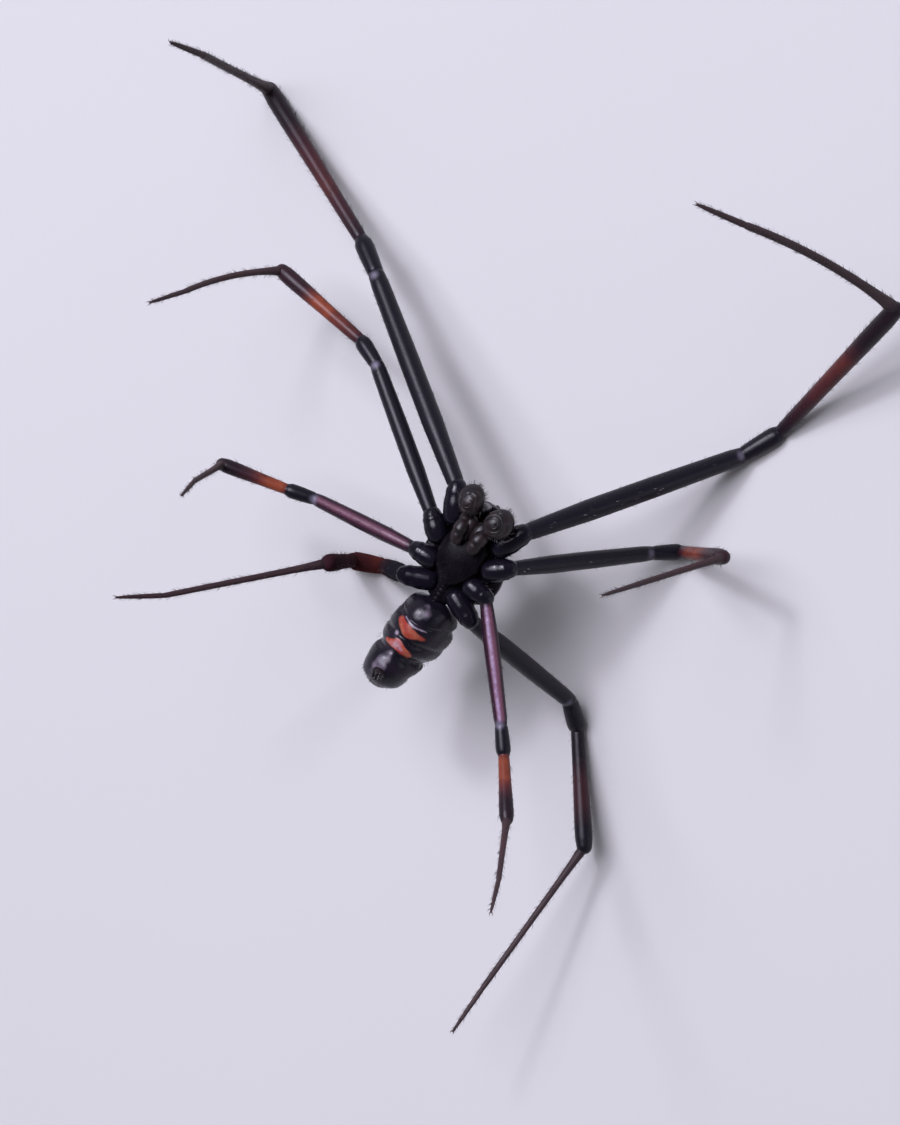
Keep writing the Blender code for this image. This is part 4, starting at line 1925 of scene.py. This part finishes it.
        # The patch lies on the knee's belly side, which faces the lamps.
        patch = self.joints[2] + BELLY_WARD * self.radius(Segment.PATELLA, 0.0)
        along = unit(self.joints[3] - self.joints[1])
        offset = points - patch
        run = offset @ along
        aside = np.linalg.norm(offset - np.outer(run, along), axis=1)
        length, width = self.soft_size
        reach = np.hypot(run / length, aside / width)
        return np.clip((1.0 - reach) / 0.7, 0, 1) * self.soft_strength

    def claws(self) -> bpy.types.Mesh:
        """Two curved claws and a smaller one between them at the foot's tip.

        Returns:
            Their mesh, in millimetres.
        """
        before, tip = self.ends(Segment.TARSUS)
        way = unit(tip - before)
        across, upward = side_frame(way)
        radii = np.linspace(*self.claw_radii, 12)
        forms = []
        for spread, reach, bend in self.claw_shapes:
            start = tip - way * 0.02 + across * spread * 0.5
            middle = start + way * reach * 0.6 + across * spread - upward * bend * 0.25
            end = start + way * reach + across * spread * 1.1 - upward * bend
            forms.append(tube(smooth_line((start, middle, end), len(radii)), radii, 10))
        return fused(forms)

    def bristles(self, coat: Coat, chance: np.random.Generator) -> None:
        """Plant bristles along the leg, and the comb on a hind foot.

        Args:
            coat: takes the bristles.
            chance: the seeded dice.
        """
        whole = sum(np.linalg.norm(b - a) for a, b in zip(self.joints, self.joints[1:]))
        done = 0.0
        floor = -STANCE_HEIGHT + 0.02
        for segment in Segment:
            start, end = self.ends(segment)
            length = float(np.linalg.norm(end - start))
            way = (end - start) / length
            across, upward = side_frame(way)
            density, usual = BRISTLES[segment]
            for _ in range(int(density * WHOLE_TURN * self.radii[segment.value] * length)):
                share = chance.uniform(0.04, 0.98)
                turn = chance.uniform(0, WHOLE_TURN)
                ring = across * math.cos(turn) + upward * math.sin(turn)
                root = self.axis(segment, share) + ring * self.radius(segment, share)
                size = usual * chance.uniform(0.65, 1.35)
                if root[2] < floor + 0.03 or root[2] + size * ring[2] < floor:
                    continue
                lie = chance.uniform(0.5, 1.0)
                out = ring * 0.75 + way * lie + chance.normal(0, 0.10, 3)
                place = ((done + length * share) / whole, turn / WHOLE_TURN)
                coat.add(root, out, way * 0.35, size, self.bristle_width, place)
            done += length
        if self.pair == COMB_PAIR:
            self.comb(coat, (done - 0.5) / whole)

    def comb(self, coat: Coat, place: float) -> None:
        """Plant the comb of curved bristles under a hind foot.

        Args:
            coat: takes the bristles.
            place: where the row lies on the unwrap.
        """
        start, end = self.ends(Segment.TARSUS)
        way = unit(end - start)
        _, upward = side_frame(way)
        for step in range(self.comb_count):
            share = 0.15 + 0.07 * step
            root = start + (end - start) * share - upward * self.radius(Segment.TARSUS, share)
            if root[2] < -STANCE_HEIGHT + 0.12:
                continue
            spot = (place, 0.75 + 0.004 * step)
            coat.add(root, way * 0.9 - upward * 0.5, way * 0.4, *self.comb_size, spot)


# The studio


@dataclass(frozen=True)
class Lamp:
    """One soft round light that looks at the spider.

    way is where it stands, as shares of the picture's right, up and out. Its distance and
    width are in millimetres, its power in watts.
    """

    name: str
    way: Triple
    far: float
    width: float
    power: float


@dataclass
class Studio:
    """Pale floor, soft light and the camera at the photograph's angle."""

    right: Triple = (-0.8016, -0.5149, -0.3040)
    upward: Triple = (0.5606, -0.8240, -0.0826)
    back: Triple = (-0.2079, -0.2366, 0.9491)
    # The camera's distance in millimetres, and the photograph's pixels a millimetre.
    distance: float = 110.0
    scale: float = 48.0
    middle: Pair = (460.0, 558.0)
    size: tuple[int, int] = (900, 1125)
    film: float = 36.0
    clip: Pair = (0.001, 10.0)
    floor_size: float = 4.0
    lamp_colour: Triple = (0.87, 0.85, 1.0)
    lamps: tuple[Lamp, ...] = (
        Lamp("key", (-0.55, 0.50, 0.80), 70.0, 10.0, 0.020),
        Lamp("fill", (0.95, -0.25, 0.60), 85.0, 50.0, 0.006),
    )
    # The wide far light: where it stands, watts on a square metre, and width in degrees.
    sky_way: Triple = (-0.50, 0.36, 0.85)
    sky_power: float = 3.8
    sky_width: float = 41.0
    # How bright the surroundings are from the horizon up, and their tint.
    around: tuple[Pair, ...] = ((0.0, 0.62), (0.30, 0.34), (0.70, 0.12), (1.0, 0.08))
    tint: Triple = (0.96, 0.95, 1.06)

    def build(self, bench: Bench) -> None:
        """Make the floor, the lights, the surroundings and the camera.

        Args:
            bench: knows the spider's place.
        """
        half = self.floor_size / 2
        corners = [(-half, -half, 0.0), (half, -half, 0.0), (half, half, 0.0), (-half, half, 0.0)]
        mesh = bpy.data.meshes.new("studio_floor")
        mesh.from_pydata(corners, [], [(0, 1, 2, 3)])
        mesh.materials.append(Ground().make())
        floor = put("studio_floor", mesh)
        self.surroundings()
        self.sky()
        for lamp in self.lamps:
            self.light(lamp, bench)
        bpy.context.scene.view_settings.view_transform = "Standard"
        self.camera(bench)

    def surroundings(self) -> None:
        """Pale round the horizon and dim overhead, so that black cuticle stays black."""
        world = bpy.data.worlds.new("studio")
        world.use_nodes = True
        nodes = Nodes(world.node_tree)
        place = nodes.node("ShaderNodeTexCoord", {}, {})
        height = nodes.node("ShaderNodeSeparateXYZ", {}, {0: place}, out=2)
        stops = [(level, tuple(glow * part for part in self.tint)) for level, glow in self.around]
        glow = nodes.ramp(height, *stops)
        nodes.feed(nodes.tree.nodes["Background"].inputs["Color"], glow)
        bpy.context.scene.world = world

    def sky(self) -> None:
        """A wide even light from far off, so that the floor is as bright everywhere."""
        light = bpy.data.lights.new("sky", "SUN")
        light.energy = self.sky_power
        light.angle = math.radians(self.sky_width)
        light.color = self.lamp_colour
        put("sky", light).rotation_euler = self.facing(self.stand(self.sky_way))

    def stand(self, way: Triple) -> Vector:
        """The direction of a place given as shares of the picture's right, up and out."""
        axes = [Vector(axis) for axis in (self.right, self.upward, self.back)]
        return sum((axis * share for axis, share in zip(axes, way)), Vector()).normalized()

    def facing(self, stand: Vector) -> Any:
        """The turn of a lamp that looks back along the direction in which it stands."""
        return stand.to_track_quat("Z", "Y").to_euler()

    def light(self, lamp: Lamp, bench: Bench) -> None:
        """Hang one lamp.

        Args:
            lamp: the lamp.
            bench: knows the spider's place.
        """
        light = bpy.data.lights.new(lamp.name, "AREA")
        light.shape = "DISK"
        light.size = lamp.width * MM
        light.energy = lamp.power
        light.color = self.lamp_colour
        stand = self.stand(lamp.way)
        hung = put(lamp.name, light)
        hung.location = bench.origin + stand * lamp.far * MM
        hung.rotation_euler = self.facing(stand)

    def camera(self, bench: Bench) -> None:
        """The camera at the photograph's angle, framing as it does.

        Args:
            bench: knows the spider's place.
        """
        right, upward, back = (Vector(axis) for axis in (self.right, self.upward, self.back))
        across = (self.size[0] / 2 - self.middle[0]) / self.scale
        down = (self.size[1] / 2 - self.middle[1]) / self.scale
        lens = bpy.data.cameras.new("camera")
        lens.sensor_fit = "VERTICAL"
        lens.sensor_height = self.film
        lens.lens = self.film / (self.size[1] / self.scale) * self.distance
        lens.clip_start, lens.clip_end = self.clip
        turn = Matrix((right, upward, back)).transposed().to_4x4()
        stand = bench.origin + (back * self.distance + right * across - upward * down) * MM
        camera = put("camera", lens)
        camera.matrix_world = Matrix.Translation(stand) @ turn
        bpy.context.scene.camera = camera


def plant_coats(
    bench: Bench, legs: Sequence[Leg], plate: Breastplate, abdomen: Abdomen, palps: Sequence[Palp]
) -> None:
    """Make the bristles of every part.

    Args:
        bench: seats the pieces.
        legs: the eight legs.
        plate: the breastplate.
        abdomen: the abdomen.
        palps: both palps.
    """
    coats = [(leg.label, [(leg, 100 + leg.pair * 2 + (leg.side is Side.LEFT))]) for leg in legs]
    coats.append(("abdomen", [(abdomen, 7)]))
    head = [(plate, 8)] + [(palp, 9 + (palp.side is Side.LEFT)) for palp in palps]
    coats.append(("head", head))
    for name, parts in coats:
        coat = Coat()
        for part, seed in parts:
            part.bristles(coat, np.random.default_rng(seed))
        bench.seat(f"{name}_bristles", coat.mesh(), bench.fibre)


def main() -> None:
    """Build every sub-assembly in order."""
    logging.basicConfig(level=logging.INFO, format="%(message)s")
    bench = Bench()
    plate, abdomen = Breastplate(), Abdomen()
    palps = [Palp(Side.RIGHT, (0.31, -1.25, 0.52)), Palp(Side.LEFT, (-0.39, -1.16, 0.52))]
    legs = [Leg(side, pair) for side in Side for pair in LEG_PLANS]
    front = [part for palp in palps for part in (Jaw(palp.side), palp)]
    for part in (Studio(), CarapaceShield(), plate, Waist(), abdomen, Spinnerets(), *front, *legs):
        part.build(bench)
    plant_coats(bench, legs, plate, abdomen, palps)


if __name__ == "__main__":
    main()
